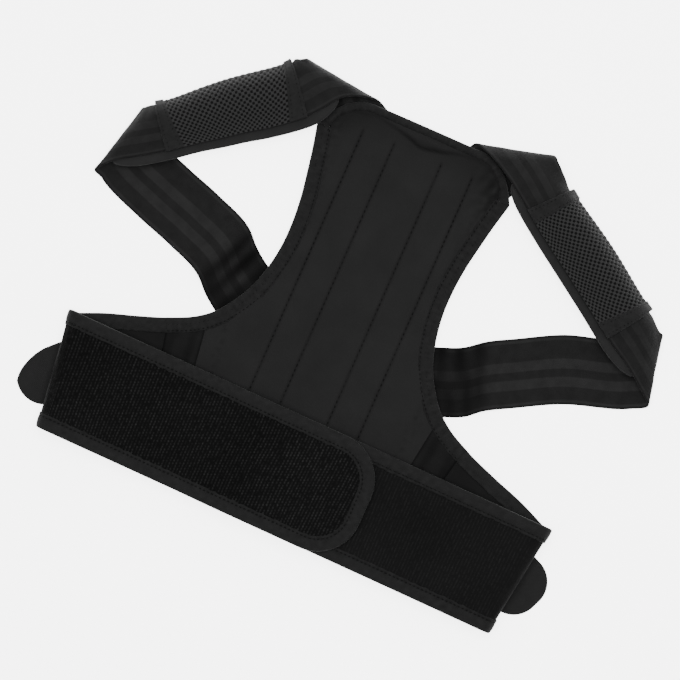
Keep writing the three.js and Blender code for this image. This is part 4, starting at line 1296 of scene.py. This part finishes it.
def make_strap(side, node):
    """Skins over the strap's surface from its sewn end to its end under the tab."""
    at, marks = STRAPS[side]
    last = marks["strap end"]
    w, s, rim = rimmed_grid((0, 1, 0.014, 44), (0, last, 0.8, int(last / STRAP_ROW)))
    normal = strap_normals(side, s, w)
    across = w * STRAP_WIDTH
    lower_run = ease(s, marks["turned"], marks["lower run"])
    lower_run = lower_run * (1 - ease(s, marks["kink"], marks["panel edge"]))
    gathered = ease(s, marks["hump"] - 10, marks["kink"] - 8)
    gathered = gathered * (1 - ease(s, marks["step foot"], marks["step top"]))
    gathers = soft_noise(1.6 * s, 0.45 * across, 20, 44)
    slack = 0.12 * soft_noise(s, across * 0.4, 14, 40 + side)
    slack = slack + 0.4 * lower_run * soft_noise(s, across, 60, 8)
    ripple = np.maximum(slack - 0.35 * gathered * gathers, -0.2)
    bands = 0
    for low, high in LIGHT_BANDS:
        bands = bands + ease(across, low - 0.5, low + 0.5) - ease(across, high - 0.5, high + 0.5)
    half = STRAP_THICK / 2
    middle = at(s, w) + normal * (rim * ripple)[..., None]
    points, faces = skins(middle, normal, rim * (half - 0.1 + 0.1 * bands), rim * half)
    points[:, 2] = np.maximum(points[:, 2], 0)
    # Painted shade over the gathered stretch, deepest in the pleats' hollows. The strap is also darker along
    # both edges, and a little on its light bands.
    gathered_shade = gathered * (0.6 + 0.25 * gathers)
    darker_edges = 0.35 * bell(np.minimum(across, STRAP_WIDTH - across), 0, 1.1)
    painted_shade_and_tone = skins_painted_shade_and_tone(darker_edges + 0.13 * bands + 0.3 * gathered_shade, gathered_shade + darker_edges)
    piece = make_piece("webbing_" + node, points, faces, webbing, skins_pattern(s, across), painted_shade_and_tone)
    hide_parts(node)


make_strap(-1, "strap_left")
make_strap(1, "strap_right")

# %% [markdown]
# ## Shoulder cushions
#
# A foam cushion in brushed tricot lies under each strap and shows as a soft rim round the arm opening.
# It is squeezed thin by the sleeve, so it is a crowned form modelled directly: full in the middle, and
# rolled down to a seam all round, with small puckers along that seam.


# %% Cushions
def make_pad(side, node):
    """A crowned body below the strap. Its ends round off on the inner side of the loop."""
    at, marks = STRAPS[side]
    start = marks["cover top"] - PAD_CORNER
    end = marks["cover foot"] + PAD_PAST_FOOT
    share, s, rim = rimmed_grid((0, 1, 0.04, 40), (start, end, 2.6, 90))
    inset = corner_inset(np.minimum(s - start, end - s), PAD_CORNER)
    inner = (inset - RIM_WIDTH) / STRAP_WIDTH
    w = inner + (1 - inner) * share
    normal = strap_normals(side, s, w)
    middle = at(s, w) - normal * (STRAP_THICK / 2 + 2 * GAP + PAD_THICK / 2)
    puckers = 0.35 * soft_noise(s, 0 * s, 11, 50 + side) * ease(share, 0, 0.05)
    crown = (1 - ease(w, -0.04, 0.02)) * (0.5 + puckers)
    points, faces = skins(middle, normal, rim * (PAD_THICK / 2 + crown), rim * PAD_THICK / 2)
    piece = make_piece("cushion_" + node, points, faces, pad_knit, skins_pattern(s, w * STRAP_WIDTH))
    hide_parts(node)


make_pad(-1, "shoulder_pad_left")
make_pad(1, "shoulder_pad_right")

# %% [markdown]
# ## Mesh sleeves
#
# The sleeve is an open spacer mesh with staggered holes, 4.8 mm apart in rows 2.9 mm apart.
# Each hole is a real dent, nearly through the cloth, cut where the product of two cosines is high.

# %% Sleeves
HOLE_DEPTH = 0.8
COVER_LOW = STRAP_THICK / 2 + GAP
HEM = COVER_OVERHANG / STRAP_WIDTH
HEM_RIM = 0.012


def make_cover(side, node):
    """Skins over the strap, with the holes taken out of the upper skin's height."""
    at, marks = STRAPS[side]
    start, end = marks["cover top"], marks["cover foot"]
    w, s, rim = rimmed_grid((-HEM, 1 + HEM, HEM_RIM, 74), (start, end, 0.8, 204))
    across = w * STRAP_WIDTH
    normal = strap_normals(side, s, w)
    waves = np.cos(2 * np.pi * s / HOLE_PITCH) * np.cos(np.pi * across / HOLE_ROW)
    inside = ease(s, start + TAPE_WIDTH, start + TAPE_WIDTH + 2)
    inside = inside * (1 - ease(s, end - TAPE_WIDTH - 2, end - TAPE_WIDTH))
    holes = ease(waves, -0.15, 0.4) * inside
    half = COVER_THICK / 2
    middle = at(s, w) + normal * (COVER_LOW + half)
    points, faces = skins(middle, normal, rim * (half + 0.15 - HOLE_DEPTH * holes), rim * half)
    piece = make_piece("mesh_" + node, points, faces, mesh_cloth, skins_pattern(s, across))
    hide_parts(node)


make_cover(-1, "pad_cover_left")
make_cover(1, "pad_cover_right")

# %% [markdown]
# A tape is sewn across each end of a sleeve, with a row of stitches along both of its edges.


# %% Sleeve tapes
BAND_INSET = 2.2


def make_cover_tape(side, node, which):
    """A flat tape over one end of the sleeve, and its two rows of stitches."""
    at, marks = STRAPS[side]
    first = marks["cover top"] if which == "upper" else marks["cover foot"] - TAPE_WIDTH
    last = first + TAPE_WIDTH
    w, s, rim = rimmed_grid((-HEM, 1 + HEM, HEM_RIM, 50), (first, last, 0.7, 12))
    across = w * STRAP_WIDTH
    normal = strap_normals(side, s, w)
    low = COVER_LOW + COVER_THICK + GAP
    half = TAPE_THICK / 2
    puff = 0.15 * soft_noise(across, s, 8, 60 + side)
    middle = at(s, w) + normal * (low + half)
    points, faces = skins(middle, normal, rim * (half + puff), rim * half)
    piece = make_piece("band_" + node, points, faces, tape_knit, skins_pattern(across, s))
    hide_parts(node)
    rows = []
    for place in (first + BAND_INSET, last - BAND_INSET):
        share = np.linspace(0, 1, 60)
        line = np.full_like(share, place)
        up = strap_normals(side, line, share)
        rows.append(sew(at(line, share) + up * (low + TAPE_THICK - 0.1), up))
    make_seams("stitches_" + node, rows)


for side, word in ((-1, "left"), (1, "right")):
    for which in ("upper", "lower"):
        make_cover_tape(side, f"cover_tape_{word}_{which}", which)

# %% [markdown]
# ## Hook tabs and the belt's hook patch
#
# Each strap ends in a rounded tab of hook tape that grips the belt. Only its tip shows past the belt's
# fold. The patch that closes the belt lies hidden between the two wings.


# %% Tabs
TAB_RIM = 1.2


def make_tab(side, node, taper):
    """Skins over the strap's end that step down to the surface past it, with a rounded tip.

    taper is how far the outer side draws in towards the tip, and over what length.
    """
    at, marks = STRAPS[side]
    start, lap_end, end = (marks[name] for name in ("tab start", "strap end", "tab tip"))
    places = tip_places(start, end, TAB_RIM, 30, 21, TAB_CORNER, 26)
    share, s = np.meshgrid(rim_places(0, 1, 0.02, 24), places)
    margin = (STRAP_WIDTH - TAB_WIDTH) / 2
    inset = (margin + corner_inset(end - s, TAB_CORNER)) / STRAP_WIDTH
    outer_inset = inset + taper[0] * ease(s, end - taper[1], end) / STRAP_WIDTH
    w = inset + (1 - inset - outer_inset) * share
    low = STRAP_LEVEL * (1 - ease(s, lap_end + GAP, lap_end + TAB_LAP)) - STRAP_THICK / 2
    half = TAB_THICK / 2
    middle = at(s, w)
    middle[..., 2] += low + half
    rim = rim_fall(s, start, end, TAB_RIM) * rim_fall(share, 0, 1, 0.02) * half
    points, faces = skins(middle, upright(middle), rim, rim)
    piece = make_piece("hook_" + node, points, faces, hook_tape, skins_pattern(s, w * STRAP_WIDTH))
    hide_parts(node)


make_tab(-1, "strap_tab_left", (0.0, 1.0))
make_tab(1, "strap_tab_right", (14.0, 44.0))

# %% [markdown]
# The patch is guessed, since nothing shows of it. It fills the gap between the two wings and keeps
# clear of their tapes, and its end follows the left wing's round corners.


# %% Hook patch
PATCH_RIM = 1.0


def make_hook_patch():
    """A thin plate between the wings, inside their tapes."""
    low = FRONT_MID + WING_THICK / 2 + GAP
    high = FRONT_MID + OVERLAP_LIFT - WING_THICK / 2 - GAP
    start = END_CORNER - PAST_SPINE[1] + GAP
    end = PAST_SPINE[-1] - TAPE_WIDTH - 2 * GAP
    radius = END_CORNER - TAPE_WIDTH
    places = tip_places(start, end, PATCH_RIM, 10, 11, radius, 12)
    share, x = np.meshgrid(rim_places(0, 1, 0.015, 20), places)
    inset = TAPE_WIDTH + 2 * GAP + corner_inset(end - x, radius)
    y = (belt_top(x) - inset) * (1 - share) + (belt_foot(x) + inset) * share
    middle = np.stack([x, y, np.full_like(x, (low + high) / 2)], -1)
    rim = rim_fall(x, start, end, PATCH_RIM) * rim_fall(share, 0, 1, 0.015) * (high - low) / 2
    points, faces = skins(middle, upright(middle), rim, rim)
    piece = make_piece("closing_patch", points, faces, hook_tape, skins_pattern(x, y))
    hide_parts("hook_patch")


make_hook_patch()

# %% [markdown]
# ## Floor
#
# The photograph has a plain white ground with no shadow on it. A white floor that glows a little does
# the same, and its light also reaches the folds' undersides. It lies a tenth of a millimetre below the
# cloth, so that nothing dips into it.

# %% Floor
FLOOR_HALF = 6.0
FLOOR_GAP = 0.1
FLOOR_GLOW = 4.0

floor_material = bpy.data.materials.new("white_studio_card")
floor_material.use_nodes = True
floor_shader = next(node for node in floor_material.node_tree.nodes if node.type == "BSDF_PRINCIPLED")
floor_shader.inputs["Base Color"].default_value = linear("#f4f4f4")
floor_shader.inputs["Roughness"].default_value = 0.9
floor_shader.inputs["Emission Color"].default_value = linear("#ffffff")
floor_shader.inputs["Emission Strength"].default_value = FLOOR_GLOW

floor_mesh = bpy.data.meshes.new("floor")
corners = np.array([(-1, -1), (1, -1), (1, 1), (-1, 1)]) * FLOOR_HALF
floor_mesh.from_pydata(np.column_stack([corners, np.full(4, -FLOOR_GAP * MM)]), [], [(0, 1, 2, 3)])
floor_mesh.materials.append(floor_material)
floor = bpy.data.objects.new("floor", floor_mesh)
bpy.context.scene.collection.objects.link(floor)
print("floor, mm below the cloth:", FLOOR_GAP)

# %% [markdown]
# ## Light
#
# The photograph has broad light from all round and a little more of it from the picture's top, which
# draws a pale line along the sleeves' outer sides. A bright sky and three large soft lamps do the same.

# %% Lamps
world = bpy.data.worlds.new("studio")
world.use_nodes = True
world.node_tree.nodes["Background"].inputs["Color"].default_value = linear("#ffffff")
world.node_tree.nodes["Background"].inputs["Strength"].default_value = 0.7
bpy.context.scene.world = world

UP_IN_PICTURE = np.array([-np.sin(CAMERA_TURN), np.cos(CAMERA_TURN), 0])
RIGHT_IN_PICTURE = np.array([np.cos(CAMERA_TURN), np.sin(CAMERA_TURN), 0])


def add_lamp(name, right, up, height, size, watts):
    """A square soft lamp at a place in the picture's own directions, in metres, aimed at the object."""
    data = bpy.data.lights.new(name, "AREA")
    data.size = size
    data.energy = watts
    lamp = bpy.data.objects.new(name, data)
    place = RIGHT_IN_PICTURE * right + UP_IN_PICTURE * up + np.array([0, 0, height])
    lamp.location = place
    aim = unit(-place)
    side = unit(np.cross(aim, [0.0, 1.0, 0.01]))
    turn = Matrix(np.stack([side, np.cross(side, aim), -aim], axis=1).tolist())
    lamp.rotation_euler = turn.to_euler()
    bpy.context.scene.collection.objects.link(lamp)


add_lamp("softbox_overhead", 0.0, 0.2, 2.2, 1.8, 100)
add_lamp("softbox_top", -0.3, 1.6, 0.9, 1.2, 6)
add_lamp("softbox_right", 1.6, 0.3, 0.9, 1.2, 7)
